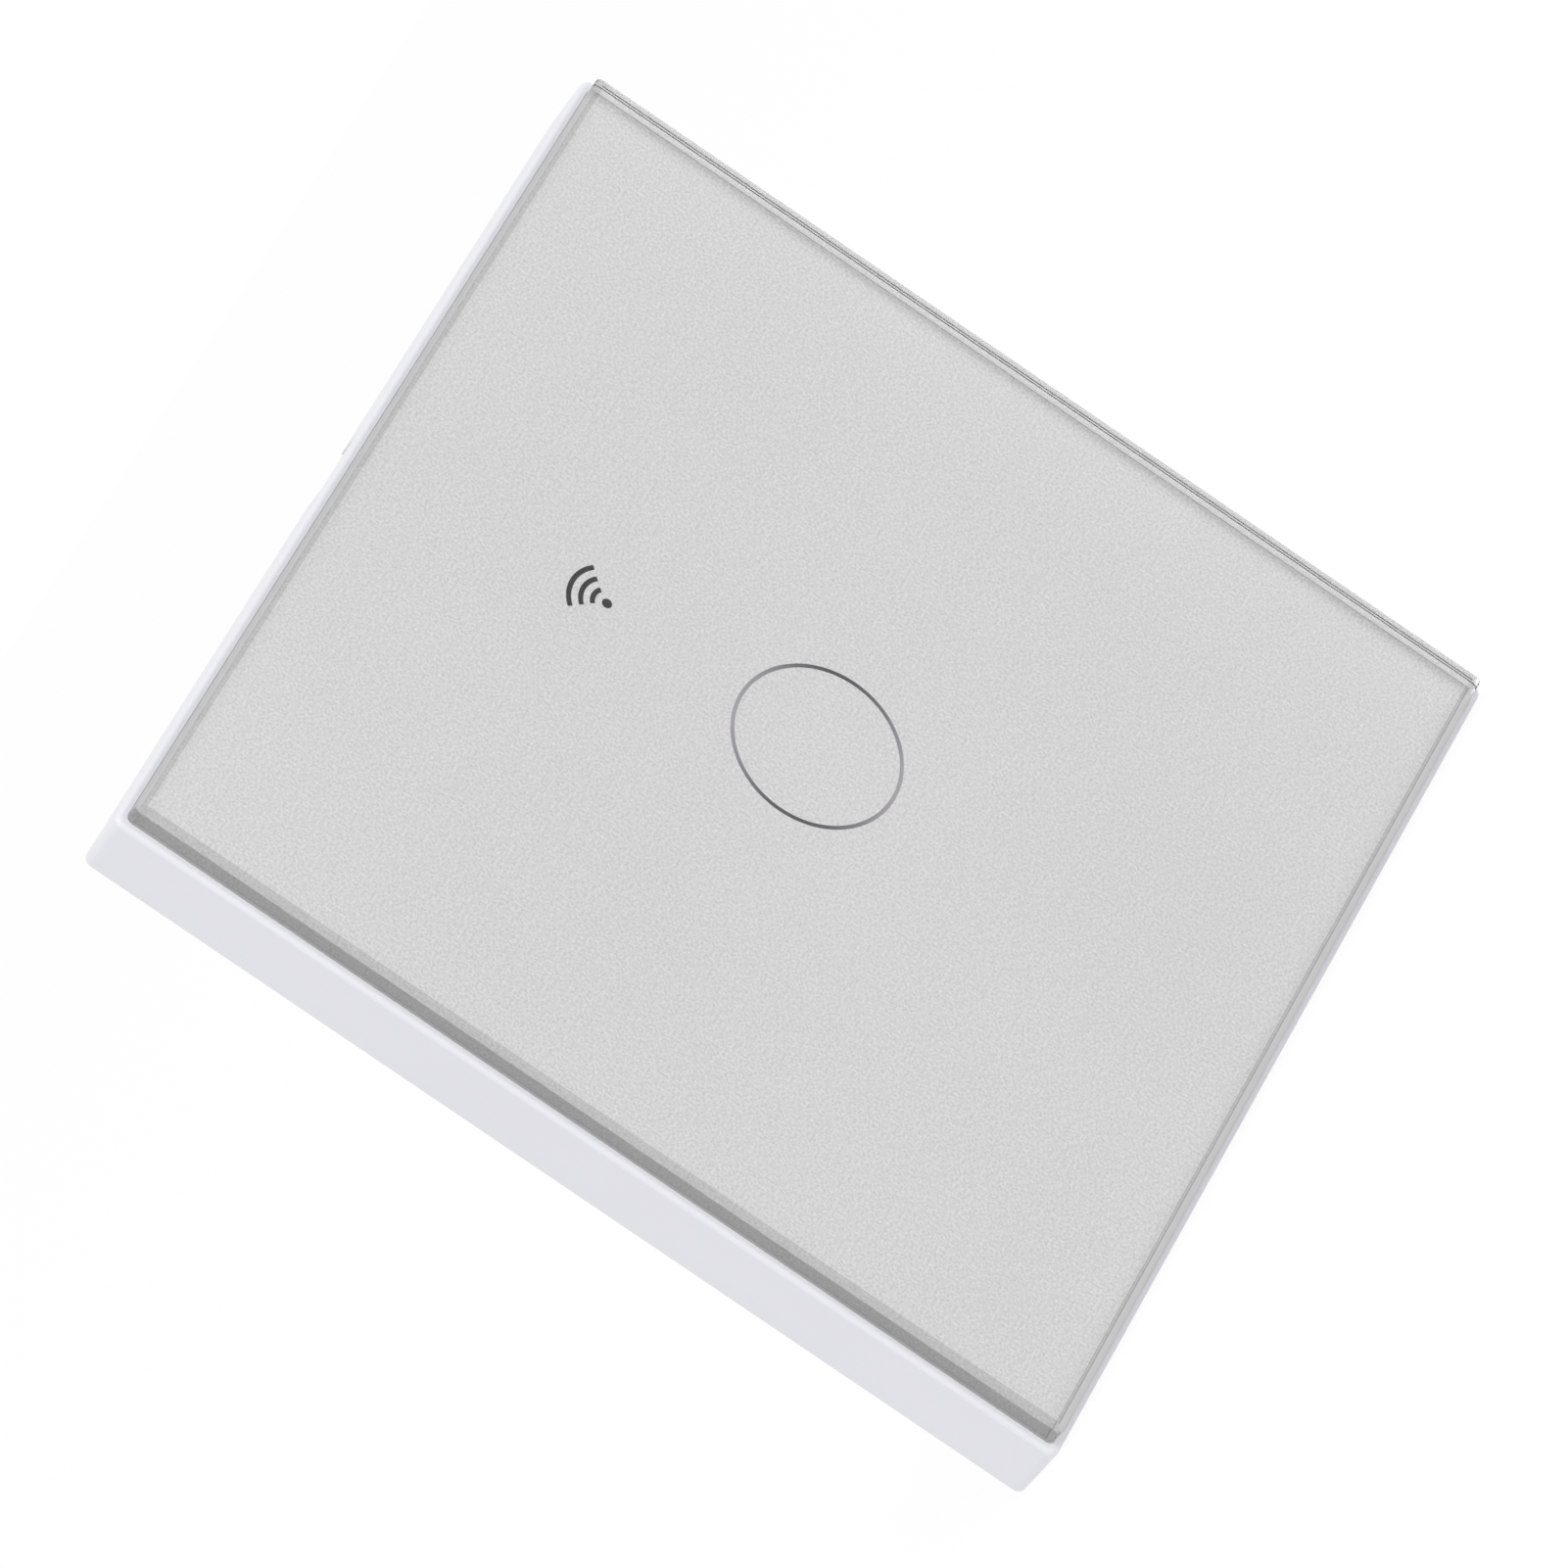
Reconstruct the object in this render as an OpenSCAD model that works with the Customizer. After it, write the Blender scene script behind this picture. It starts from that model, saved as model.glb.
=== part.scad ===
// Wall touch switch: a glass panel on a snap-on frame, over a rear box with a relay and screw terminals
// Plan axes inside the modules: x to the right, y up the wall, z out of the wall, with the wall at z = 0

/* [Front panel] */
// side of the square frame
panel_w = 86; // [82:0.5:92]
// height of the frame from the wall to its rim
frame_h = 6.5; // [6.3:0.1:9]
// thickness of the frame's side walls
frame_wall = 1.6; // [1.4:0.1:2]
// radius of the frame's corners
frame_corner_r = 0.8; // [0.6:0.1:2]
// width of the rim around the glass
rim_w = 0.7; // [0.6:0.05:1]
// round along the rim's outer edge
rim_round = 0.45; // [0.2:0.05:0.5]
// depth of the glass seat below the rim
seat_d = 0.3; // [0.25:0.05:0.5]
// thickness of the web that carries the glass
web_t = 1.4; // [1:0.1:1.6]
// side of the square opening in the web
web_opening = 56; // [53:0.5:60]
// width of the pry notch in the top wall
notch_w = 6.3; // [4:0.1:12]
// height of the pry notch
notch_h = 3.5; // [2:0.1:4]
// thickness of the glass
glass_t = 2; // [1.5:0.1:3]
// width of the bevel on the glass
bevel_w = 0.8; // [0.3:0.05:0.9]
// height of the bevel on the glass
bevel_h = 0.2; // [0.1:0.05:0.6]
// radius of the glass corners
glass_corner_r = 0.5; // [0.3:0.1:1.5]
// thickness of the adhesive tape under the glass
tape_t = 0.15; // [0.1:0.05:0.2]
// width of the snap tongues
tongue_w = 7; // [5:0.5:10]
// thickness of the snap tongues
tongue_t = 1.1; // [0.9:0.1:1.4]
// diameter of the two locating pins
pin_d = 3; // [2:0.1:4]

/* [Wall base] */
// thickness of the flange against the wall
flange_t = 2; // [1.8:0.1:2.4]
// height of the rib round the flange
flange_rib_h = 1.8; // [1:0.1:2.2]
// thickness of the rib round the flange
flange_rib_t = 1.3; // [1:0.1:1.6]
// spacing of the two wall box screws
screw_spacing = 60.3; // [60:0.1:61]
// width of the screw slots
slot_w = 4.2; // [3.8:0.1:4.6]
// length of the screw slots
slot_l = 7; // [5:0.5:8]
// outside width of the rear box
box_w = 48; // [47:0.5:50]
// thickness of the rear box walls
box_wall = 1.6; // [1.4:0.1:2]
// radius of the rear box corners
box_corner_r = 3; // [2:0.1:4]
// round along the rear edge of the box
box_round = 1.2; // [0.6:0.1:1.5]
// width of the cooling slots
vent_w = 1.2; // [0.8:0.1:1.6]
// length of the cooling slots
vent_l = 9; // [6:0.5:11]
// number of cooling slots a side
vent_count = 5; // [3:1:6]
// depth of the pockets in the rear of the flange
pocket_h = 0.7; // [0.3:0.1:1]
// depth of the bare plate recess in the rear wall
plate_h = 0.3; // [0.1:0.1:0.5]
// diameter of the corner posts
post_d = 6; // [5:0.1:6.4]
// thickness of the inner cover
cover_t = 1.6; // [1.4:0.1:1.8]

/* [Touch board] */
// side of the touch board
touch_w = 50; // [49:0.5:51]
// thickness of the touch board
touch_t = 1.2; // [1:0.1:1.4]
// distance from the inner cover to the touch board
touch_rise = 0.6; // [0.4:0.1:0.8]
// mean diameter of the lit ring
ring_d = 14.3; // [13.5:0.1:16]
// radial width of the light ring
ring_band = 3.4; // [3:0.1:3.6]
// wire of the touch spring
spring_wire = 0.5; // [0.4:0.05:0.6]
// turns of the touch spring
spring_turns = 3.5; // [2.5:0.5:3.5]
// height of the lit mark above the ring's centre
mark_up = 21.4; // [20.5:0.1:22]
// width of the mark's light shroud
mark_w = 5.6; // [5:0.1:6]
// side of the radio's shield
shield_w = 11; // [9:0.5:12]
// number of header pins
pin_count = 5; // [3:1:6]
// pitch of the header pins
pin_pitch = 2.54; // [2:0.01:2.54]

/* [Power board] */
// thickness of the power board
power_t = 1.6; // [1.4:0.1:1.8]
// distance from the inner cover to the power board
power_drop = 2.8; // [2.6:0.1:3.4]
// length of the relay
relay_l = 19; // [18.6:0.1:20]
// width of the relay
relay_w = 15.4; // [14.6:0.1:16]
// height of the relay
relay_h = 15.3; // [15:0.1:16.5]
// gap at the relay's pole when it is off
relay_gap = 0.55; // [0.5:0.05:0.7]
// diameter of the relay's winding
coil_d = 9.4; // [8.6:0.1:10]
// diameter of the bulk capacitor
bulk_d = 8; // [6.3:0.1:9]
// height of the bulk capacitor
bulk_h = 12; // [10:0.5:15]
// width of the transformer
trafo_w = 13; // [12:0.1:13.6]

/* [Terminals] */
// spacing of the terminals
term_pitch = 7.8; // [7.6:0.1:8.4]
// depth of the terminal block
term_d = 12; // [11.6:0.1:12.8]
// diameter of a terminal screw's head
head_d = 4.4; // [4:0.1:4.8]
// height of a terminal screw's head
head_h = 2; // [1.8:0.1:2.2]
// diameter of a terminal screw's shank
shank_d = 3; // [2.6:0.1:3.2]
// inside width of a clamp cage
cage_in = 3.8; // [3.6:0.1:3.9]
// travel of a clamp cage
cage_travel = 2.5; // [2:0.1:2.6]

/* [Clearances] */
// gap between the glass and the rim
glass_gap = 0.05; // [0.05:0.05:0.2]
// room for the print on the back of the glass
ink_gap = 0.05; // [0.02:0.01:0.1]
// gap between the frame's walls and the flange
flange_gap = 0.6; // [0.4:0.1:0.8]
// gap between a locating pin and its hole
pin_gap = 0.15; // [0.1:0.05:0.3]
// gap between a tongue's barb and its catch
barb_gap = 0.1; // [0.05:0.05:0.2]
// gap round a board or cover in the rear box
board_gap = 0.2; // [0.1:0.05:0.4]
// gap between parts that move in the terminals and relay
run_gap = 0.15; // [0.1:0.05:0.2]
// gap from the tallest piece to the rear wall
room_gap = 0.6; // [0.4:0.1:1]

/* [Hidden] */
$fn = 64;
eps = 0.01;

seat_z = frame_h - seat_d;
web_z = seat_z - web_t;
glass_z = seat_z + tape_t + ink_gap;
ink_z = glass_z - ink_gap;
glass_w = panel_w - 2 * (rim_w + glass_gap);
frame_in = panel_w - 2 * frame_wall;
web_corner_r = 4;
tape_margin = 1.2;
notch_round = 0.6;
frame_in_r = 0.8;
web_rib_t = 1.2;
web_rib_h = 1;
screw_room = 12;

flange_w = frame_in - 2 * flange_gap;
flange_corner_r = 1;
flex_gap = 0.9;
barb_d = 0.4;
barb_h = 0.8;
barb_z = 0.25;
tongue_at = panel_w / 4;
tongue_out = frame_in / 2 - flex_gap;
barb_nose = tongue_out - tongue_t - barb_d;
catch_x = barb_nose - barb_gap;
catch_z = barb_z + barb_h + run_gap;
catch_cut = 0.6;
tongue_side = 0.5;
pin_in = 7;
pin_at = frame_in / 2 - pin_in;
pin_tip_z = 0.5;
rib_t = 1;
rib_h = 1.2;
rib_at = 14;
pocket_r = 1;
pocket_wall = 1.1;
pocket_mid = 5.5;
pocket_end = 24;
plate_l = 34;
plate_w = 17;
plate_r = 1.5;
plate_y = 9;

cover_z = flange_t - cover_t;
box_in = box_w - 2 * box_wall;
power_top = cover_z - power_drop;
power_z = power_top - power_t;
rear_in_z = power_z - relay_h - room_gap;
rear_z = rear_in_z - box_wall;
power_w = box_in - 2 * board_gap;
cover_w = box_in - 2 * board_gap;
power_corner_r = 0.5;
post_bite = 0.4;
post_at = box_in / 2 - post_d / 2 + post_bite;
post_screw_d = 2;
post_screw_l = 9;
post_head_d = 3.8;
post_head_h = 1.1;
screw_tip = 0.4;
screw_end_gap = 0.2;
shelf_t = 1.2;
shelf_d = 2;
shelf_at = 10;
peg_d = 3;
peg_x = 14;
peg_in = 2.6;
peg_y = box_in / 2 - peg_in;

touch_z = flange_t + touch_rise;
touch_top = touch_z + touch_t;
touch_corner_r = 2;
boss_d = 5;
boss_x = 17.5;
boss_y = 12;
board_screw_d = 1.8;
board_head_d = 3.6;
board_head_h = 1.2;
screw_fit = 0.05;
light_wall = 0.7;
light_roof = 0.9;
mark_h = mark_w - 1;
chip_l = 1.6;
chip_w = 0.8;
chip_h = 0.6;
shield_in = 1.5;
main_chip_x = 14.5;
main_chip_y = -4;
row_x = 12.4;
row_y = 2.6;
pin_s = 0.64;
pin_tail = 0.8;
header_in = 5.9;
header_y = header_in - box_in / 2;
header_w = 2.5;
strip_h = 1.6;
socket_h = touch_z - strip_h - power_top;
header_l = pin_count * pin_pitch;
header_room = 0.6;
pin_hole_d = 1;
pin_lift = 0.4;
socket_floor = 0.3;
socket_well = 0.08;

term_count = 3;
block_end = 0.8;
block_w = term_count * term_pitch + 2 * block_end;
block_y = -box_w / 2;
cut_gap = 0.15;
head_sink = 0.6;
neck_t = 1.4;
cage_wall = 0.8;
cage_w = cage_in + 2 * cage_wall;
cage_cap = 1;
cage_d = 6.4;
tab_t = 1;
tab_w = 3.2;
tab_clear = 0.3;
tab_in = 0.5;
wire_room = 3.8;
window_h = tab_clear + tab_t + wire_room;
cage_h = window_h + 2 * cage_cap;
front_t = 1.2;
neck_z = rear_z + head_sink + head_h;
chamber_z = neck_z + neck_t;
cage_z = chamber_z + run_gap + cage_travel;
tab_z = cage_z + cage_cap + tab_clear;
shank_l = cage_z + cage_cap - neck_z;
cage_y = block_y + front_t + run_gap;
chamber_d = cage_d + 2 * run_gap;
screw_y = cage_y + cage_d / 2;
function term_x(i) = (i - (term_count - 1) / 2) * term_pitch;
leg_t = 1;
entry_w = 3.6;
entry_h = 3.6;
entry_z = tab_z + tab_t + (wire_room - entry_h) / 2;

relay_side = 0.6;
relay_x = -box_in / 2 + shelf_d + relay_side;
relay_y = -8.4;
relay_base_h = 2;
case_t = 0.7;
case_room = 0.5;
yoke_t = 1.2;
arm_t = 1.1;
arm_room = 0.9;
arm_over = 0.4;
leaf_t = 0.25;
button_d = 2.6;
button_h = 0.5;
bobbin_lip = 0.6;
bobbin_t = 0.8;
flange_d = coil_d + 2 * bobbin_lip;
pole_d = 5;
pole_t = 0.8;
core_d = 3.6;
spool_wall = 0.6;
relay_my = relay_y + relay_w / 2;
relay_in_x = relay_x + case_t + case_room;
base_z = power_z - relay_base_h;
arm_top = power_z - relay_h + case_t + arm_room;
arm_z = arm_top + leaf_t;
pivot_z = arm_z + arm_t + run_gap + yoke_t / 2;
pole_z = arm_z + arm_t + relay_gap;
coil_gap = 0.4;
coil_x = relay_in_x + yoke_t + coil_gap + flange_d / 2;
contact_in = 2.2;
contact_x = relay_x + relay_l - case_t - contact_in;
arm_l = coil_x + pole_d / 2 + arm_over - relay_in_x;
bobbin_top = pole_z + pole_t;
bobbin_end = base_z - yoke_t;
spool_d = core_d + 2 * spool_wall;
arm_w = 8;
leaf_w = 4;
leaf_in = 2;
strip_t = 0.5;
contact_gap = 0.8;
post_w = 3;

function on_board(u, v) = [u, v] * power_w / 2;
trafo_side = 3.2;
trafo_x = box_in / 2 - shelf_d - trafo_side - trafo_w;
trafo_y = -6.8;
trafo_d = 12.4;
trafo_h = 11.5;
trafo_bar = 1.8;
trafo_stack = 5;
trafo_leg_d = 4.6;
fuse_d = 3.6;
fuse_l = 10;
fuse_cap = 2.4;
fuse_x = box_in / 2 - shelf_d / 2 - fuse_d / 2;
fuse_y = -6;
film_l = 13;
film_w = 5.6;
film_h = 11;
film_r = 0.5;
film_at = on_board(-0.43, 0.55);
bulk_at = on_board(0.12, 0.65);
choke_d = 6.4;
choke_h = 8;
choke_at = on_board(0.53, 0.57);
disc_d = 7;
disc_t = 3.6;
disc_at = on_board(-0.27, 0.91);
bridge_l = 4.8;
bridge_w = 4;
bridge_h = 2.4;
bridge_r = 0.3;
bridge_at = on_board(0.45, 0.85);

// the spring's wire, with its least gap between turns
spring_side = 0.25;
spring_r0 = ring_d / 2 - ring_band / 2 - spring_wire / 2 - spring_side;
spring_r1 = 1.6;
spring_rise = ink_z - touch_top - spring_wire;
spring_steps = 14;
spring_last = floor(spring_turns * spring_steps);
function spring_r(u) = spring_r0 + (spring_r1 - spring_r0) * u;
function spring_at(u) = let (a = 360 * spring_turns * u)
    [spring_r(u) * cos(a), spring_r(u) * sin(a), touch_top + spring_wire / 2 + spring_rise * u];
spring_path = [for (i = [0:spring_last]) spring_at(i / spring_last)];
next_turn = floor(spring_steps * 0.8);
spring_pairs = [for (i = [0:spring_last], j = [i + next_turn:spring_last]) [spring_path[i], spring_path[j]]];
spring_gap = min([for (p = spring_pairs) norm(p[0] - p[1])]) - spring_wire;
echo(least_gap_of_touch_spring = spring_gap);

module on_wall() {
    rotate([90, 0, 0]) children();
}

module round_rect(l, w, r) {
    square([l, w - 2 * r], center = true);
    square([l - 2 * r, w], center = true);
    for (sx = [-1, 1], sy = [-1, 1]) translate([sx * (l / 2 - r), sy * (w / 2 - r)]) circle(r);
}

module round_plate(w, r, z0, z1) {
    translate([0, 0, z0]) linear_extrude(z1 - z0) round_rect(w, w, r);
}

// a square slab whose edge follows a section drawn from the middle out to $half
module edged_slab(w, r) {
    c = w / 2 - r;
    for (a = [0, 90]) rotate(a) rotate([90, 0, 0]) linear_extrude(2 * c, center = true) {
        let ($half = w / 2) children();
        mirror([1, 0]) let ($half = w / 2) children();
    }
    for (sx = [-1, 1], sy = [-1, 1]) translate([sx * c, sy * c, 0])
        rotate_extrude() let ($half = r) children();
}

module slot(l, w, z0, z1) {
    translate([0, 0, z0]) linear_extrude(z1 - z0) {
        square([l - w, w], center = true);
        for (s = [-1, 1]) translate([s * (l - w) / 2, 0]) circle(w / 2);
    }
}

module at_corners(x, y) {
    for (sx = [-1, 1], sy = [-1, 1]) translate([sx * x, sy * y, 0]) children();
}

module rod(d, z0, z1) {
    translate([0, 0, z0]) cylinder(d = d, h = z1 - z0);
}

module block(x0, x1, y0, y1, z0, z1) {
    translate([x0, y0, z0]) cube([x1 - x0, y1 - y0, z1 - z0]);
}

module chip(x, y, l, w, h) {
    translate([x, y, touch_top + h / 2]) cube([l, w, h], center = true);
}

// front panel

module glass_bar() {
    h = glass_w / 2;
    rotate([90, 0, 0]) linear_extrude(2 * glass_w, center = true) polygon([
        [-h, 0], [h, 0], [h, glass_t - bevel_h], [h - bevel_w, glass_t],
        [-h + bevel_w, glass_t], [-h, glass_t - bevel_h]]);
}

module glass_panel() {
    color([0.84, 0.85, 0.86]) translate([0, 0, glass_z]) intersection() {
        glass_bar();
        rotate(90) glass_bar();
        round_plate(glass_w, glass_corner_r, -1, glass_t + 1);
    }
}

module panel_tape() {
    color([0.2, 0.2, 0.22]) difference() {
        round_plate(glass_w - 2 * tape_margin, glass_corner_r, seat_z, seat_z + tape_t);
        round_plate(web_opening + 2 * tape_margin, web_corner_r, seat_z - 1, seat_z + 1);
    }
}

module rim_section() {
    intersection() {
        square([$half, frame_h]);
        union() {
            square([$half - rim_round, frame_h]);
            square([$half, frame_h - rim_round]);
            translate([$half - rim_round, frame_h - rim_round]) circle(rim_round);
        }
    }
}

module web_rib() {
    difference() {
        round_plate(web_opening + 2 * web_rib_t, web_corner_r + web_rib_t, web_z - web_rib_h, web_z + eps);
        round_plate(web_opening, web_corner_r, web_z - web_rib_h - 1, web_z + 1);
        translate([0, 0, web_z - web_rib_h / 2 - eps])
            cube([panel_w, screw_room, web_rib_h + 2 * eps], center = true);
    }
}

module pry_notch() {
    y = panel_w / 2 + 1;
    translate([0, y, 0]) rotate([90, 0, 0]) linear_extrude(frame_wall + 2) {
        translate([-notch_w / 2, -1]) square([notch_w, notch_h - notch_round + 1]);
        translate([-notch_w / 2 + notch_round, 0]) square([notch_w - 2 * notch_round, notch_h]);
        for (s = [-1, 1]) translate([s * (notch_w / 2 - notch_round), notch_h - notch_round])
            circle(notch_round);
    }
}

module tongue() {
    face = tongue_out - tongue_t;
    lead = barb_d / 2;
    rotate([90, 0, 0]) linear_extrude(tongue_w, center = true) polygon([
        [tongue_out, web_z + eps], [tongue_out, barb_z], [barb_nose + lead, barb_z],
        [barb_nose, barb_z + lead], [barb_nose, barb_z + barb_h - lead],
        [face, barb_z + barb_h], [face, web_z + eps]]);
}

module tongues() {
    for (a = [0, 180], s = [-1, 1]) rotate(a) translate([0, s * tongue_at, 0]) tongue();
}

module locating_pin(d, z0, z1) {
    for (s = [-1, 1]) translate([s * pin_at, -s * pin_at, 0]) rod(d, z0, z1);
}

module front_frame() {
    color("white") union() {
        difference() {
            edged_slab(panel_w, frame_corner_r) rim_section();
            round_plate(panel_w - 2 * rim_w, glass_corner_r + glass_gap, seat_z, frame_h + 1);
            round_plate(frame_in, frame_in_r, -1, web_z);
            round_plate(web_opening, web_corner_r, web_z - 1, seat_z + 1);
            pry_notch();
        }
        web_rib();
        tongues();
        locating_pin(pin_d, pin_tip_z, web_z + eps);
    }
}

// wall base

module flange_rib() {
    difference() {
        round_plate(flange_w, flange_corner_r, flange_t - eps, flange_t + flange_rib_h);
        round_plate(flange_w - 2 * flange_rib_t, flange_corner_r, 0, flange_t + flange_rib_h + 1);
    }
}

module spoke_ribs() {
    r0 = touch_w / 2 + 1;
    r1 = flange_w / 2 - flange_rib_t / 2;
    for (a = [0:90:270], s = [-1, 1]) rotate(a) translate([0, s * rib_at, 0])
        block(r0, r1, -rib_t / 2, rib_t / 2, flange_t - eps, flange_t + rib_h);
}

module catch_cuts() {
    w = tongue_w + 2 * tongue_side;
    for (a = [0, 180], s = [-1, 1]) rotate(a) translate([0, s * tongue_at, 0]) {
        block(catch_x, flange_w, -w / 2, w / 2, -1, flange_t + flange_rib_h + 1);
        block(catch_x - catch_cut, flange_w, -w / 2, w / 2, -1, catch_z);
    }
}

module wall_pockets() {
    x0 = box_w / 2 + 2;
    x1 = catch_x - catch_cut - pocket_wall;
    for (a = [0:90:270], s = [-1, 1]) rotate(a)
        translate([(x0 + x1) / 2, s * (pocket_mid + pocket_end) / 2, -1])
            linear_extrude(pocket_h + 1) round_rect(x1 - x0, pocket_end - pocket_mid, pocket_r);
}

module plate_recess() {
    translate([0, plate_y, rear_z - 1]) linear_extrude(plate_h + 1) round_rect(plate_l, plate_w, plate_r);
}

module box_section() {
    top = flange_t / 2;
    translate([0, rear_z + box_round]) square([$half, top - rear_z - box_round]);
    translate([0, rear_z]) square([$half - box_round, top - rear_z]);
    translate([$half - box_round, rear_z + box_round]) circle(box_round);
}

module box_body() {
    edged_slab(box_w, box_corner_r) box_section();
}

module box_room() {
    difference() {
        round_plate(box_in, box_corner_r - box_wall, rear_in_z, flange_t + 1);
        at_corners(post_at, post_at) rod(post_d, rear_in_z - 1, cover_z);
        for (s = [-1, 1], sx = [-1, 1]) translate([sx * (box_in / 2 - shelf_d / 2 + eps), s * shelf_at, 0])
            block(-shelf_d / 2, shelf_d / 2 + eps, -shelf_t / 2, shelf_t / 2, rear_in_z - 1, power_z);
    }
}

module terminal_cut() {
    x = block_w / 2 + cut_gap;
    block(-x, x, -box_w, block_y + term_d + cut_gap, rear_z - 1, power_z + cut_gap);
}

module vents() {
    step = 2 * (shelf_at - shelf_t - vent_w) / vent_count;
    z = (rear_in_z + power_z) / 2;
    for (a = [0:90:180], i = [0:vent_count - 1]) rotate(a)
        translate([0, (i - (vent_count - 1) / 2) * step, z])
            rotate([0, 90, 0]) slot(vent_l, vent_w, box_in / 2 - box_wall / 2, box_w / 2 + 1);
}

module rear_housing() {
    color("white") difference() {
        union() {
            round_plate(flange_w, flange_corner_r, 0, flange_t);
            flange_rib();
            spoke_ribs();
            box_body();
        }
        box_room();
        at_corners(post_at, post_at) rod(post_screw_d + 2 * screw_fit, cover_z - post_screw_l, cover_z + 1);
        terminal_cut();
        for (s = [-1, 1]) translate([s * screw_spacing / 2, 0, 0]) slot(slot_l, slot_w, -1, flange_t + 1);
        locating_pin(pin_d + 2 * pin_gap, -1, flange_t + 1);
        catch_cuts();
        wall_pockets();
        plate_recess();
        vents();
    }
}

module inner_cover() {
    color([0.93, 0.93, 0.92]) difference() {
        union() {
            round_plate(cover_w, box_corner_r - box_wall, cover_z, flange_t);
            at_corners(boss_x, boss_y) rod(boss_d, flange_t - eps, touch_z);
            at_corners(peg_x, peg_y) rod(peg_d, power_top, cover_z + eps);
        }
        at_corners(boss_x, boss_y) rod(board_screw_d + 2 * screw_fit, cover_z - 1, touch_z + 1);
        at_corners(post_at, post_at) {
            rod(post_screw_d + 2 * screw_fit, cover_z - 1, flange_t + 1);
            translate([0, 0, flange_t - post_head_h])
                cylinder(d1 = post_screw_d, d2 = post_head_d, h = post_head_h + eps);
        }
        translate([0, header_y, cover_z - 1])
            linear_extrude(cover_t + 2)
                square([header_l + 2 * header_room, header_w + 2 * header_room], center = true);
    }
}

module cover_screws() {
    sink = screw_fit;
    tip_z = screw_end_gap - cover_t - post_screw_l;
    color("silver") at_corners(post_at, post_at) translate([0, 0, flange_t]) rotate_extrude() polygon([
        [0, -sink], [post_head_d / 2 - sink, -sink], [post_screw_d / 2, -post_head_h],
        [post_screw_d / 2, tip_z + screw_tip], [0, tip_z]]);
}

// touch board

module pin_row() {
    for (i = [0:pin_count - 1]) translate([(i - (pin_count - 1) / 2) * pin_pitch, header_y, 0]) children();
}

module touch_board() {
    color([0.12, 0.35, 0.22]) difference() {
        round_plate(touch_w, touch_corner_r, touch_z, touch_top);
        at_corners(boss_x, boss_y) rod(board_screw_d + 2 * board_gap, touch_z - 1, touch_top + 1);
        pin_row() rod(pin_hole_d, touch_z - 1, touch_top + 1);
    }
}

module board_screws() {
    color("silver") at_corners(boss_x, boss_y) translate([0, 0, touch_top]) rotate_extrude() {
        square([board_screw_d / 2, eps]);
        translate([0, cover_z - touch_top]) square([board_screw_d / 2, touch_top - cover_z + eps]);
        square([board_head_d / 2, board_head_h / 2]);
        intersection() {
            square([board_head_d / 2, board_head_h]);
            translate([0, board_head_h - board_head_d]) circle(board_head_d);
        }
    }
}

module touch_spring() {
    sides = 6;
    last = spring_last;
    function along(i) = spring_path[min(i + 1, last)] - spring_path[max(i - 1, 0)];
    function out(i) = let (d = along(i), o = cross(d, [0, 0, 1])) o / norm(o);
    function up(i) = let (u = cross(out(i), along(i))) u / norm(u);
    pts = [for (i = [0:last], k = [0:sides - 1]) spring_path[i]
        + spring_wire / 2 * (cos(360 * k / sides) * out(i) + sin(360 * k / sides) * up(i))];
    tube = [for (i = [0:last - 1], k = [0:sides - 1], h = [0, 1])
        let (n = (k + 1) % sides, a = i * sides, b = a + sides)
        h == 0 ? [a + k, b + k, b + n] : [a + k, b + n, a + n]];
    e = last * sides;
    first_end = [for (k = [1:sides - 2]) [0, k, k + 1]];
    last_end = [for (k = [1:sides - 2]) [e, e + k + 1, e + k]];
    color("gold") polyhedron(pts, concat(tube, first_end, last_end));
}

module light_ring() {
    ri = ring_d / 2 - ring_band / 2;
    ro = ring_d / 2 + ring_band / 2;
    roof = ink_z - touch_top - light_roof;
    color([0.95, 0.95, 0.9]) translate([0, 0, touch_top]) rotate_extrude() difference() {
        translate([ri, 0]) square([ring_band, ink_z - touch_top - ink_gap]);
        translate([ri + light_wall, -1]) square([ring_band - 2 * light_wall, roof + 1]);
    }
}

module ring_lights() {
    color([0.95, 0.9, 0.6]) for (a = [45:90:315]) rotate(a) chip(ring_d / 2, 0, chip_w, chip_l, chip_h);
}

module mark_light() {
    color([0.95, 0.9, 0.6]) chip(0, mark_up, chip_l, chip_w, chip_h);
}

module mark_shroud() {
    h = ink_z - ink_gap - touch_top;
    color([0.15, 0.15, 0.16]) translate([0, mark_up, touch_top]) linear_extrude(h) difference() {
        round_rect(mark_w, mark_h, light_wall);
        square([mark_w - 2 * light_wall, mark_h - 2 * light_wall], center = true);
    }
}

module radio_shield() {
    x = -touch_w / 2 + shield_w / 2 + shield_in;
    wall = 0.3;
    round_r = 0.8;
    h = 1.9;
    color("silver") translate([x, 0, touch_top]) difference() {
        linear_extrude(h) round_rect(shield_w, shield_w, round_r);
        translate([0, 0, -1]) linear_extrude(h - wall + 1)
            square([shield_w - 2 * wall, shield_w - 2 * wall], center = true);
    }
}

module touch_chip() {
    body_l = 4.9;
    body_w = 3.9;
    body_h = 1.3;
    leg_pitch = 1.27;
    leg_w = 0.4;
    leg_t = 0.3;
    leg_out = 1;
    color([0.13, 0.13, 0.14]) translate([main_chip_x, main_chip_y, touch_top]) {
        translate([0, 0, leg_t / 2]) linear_extrude(body_h) square([body_l, body_w], center = true);
        for (i = [-1.5:1.5], s = [-1, 1])
            translate([i * leg_pitch, s * (body_w / 2 + leg_out / 2 - eps), leg_t / 2])
                cube([leg_w, leg_out, leg_t], center = true);
    }
}

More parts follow.
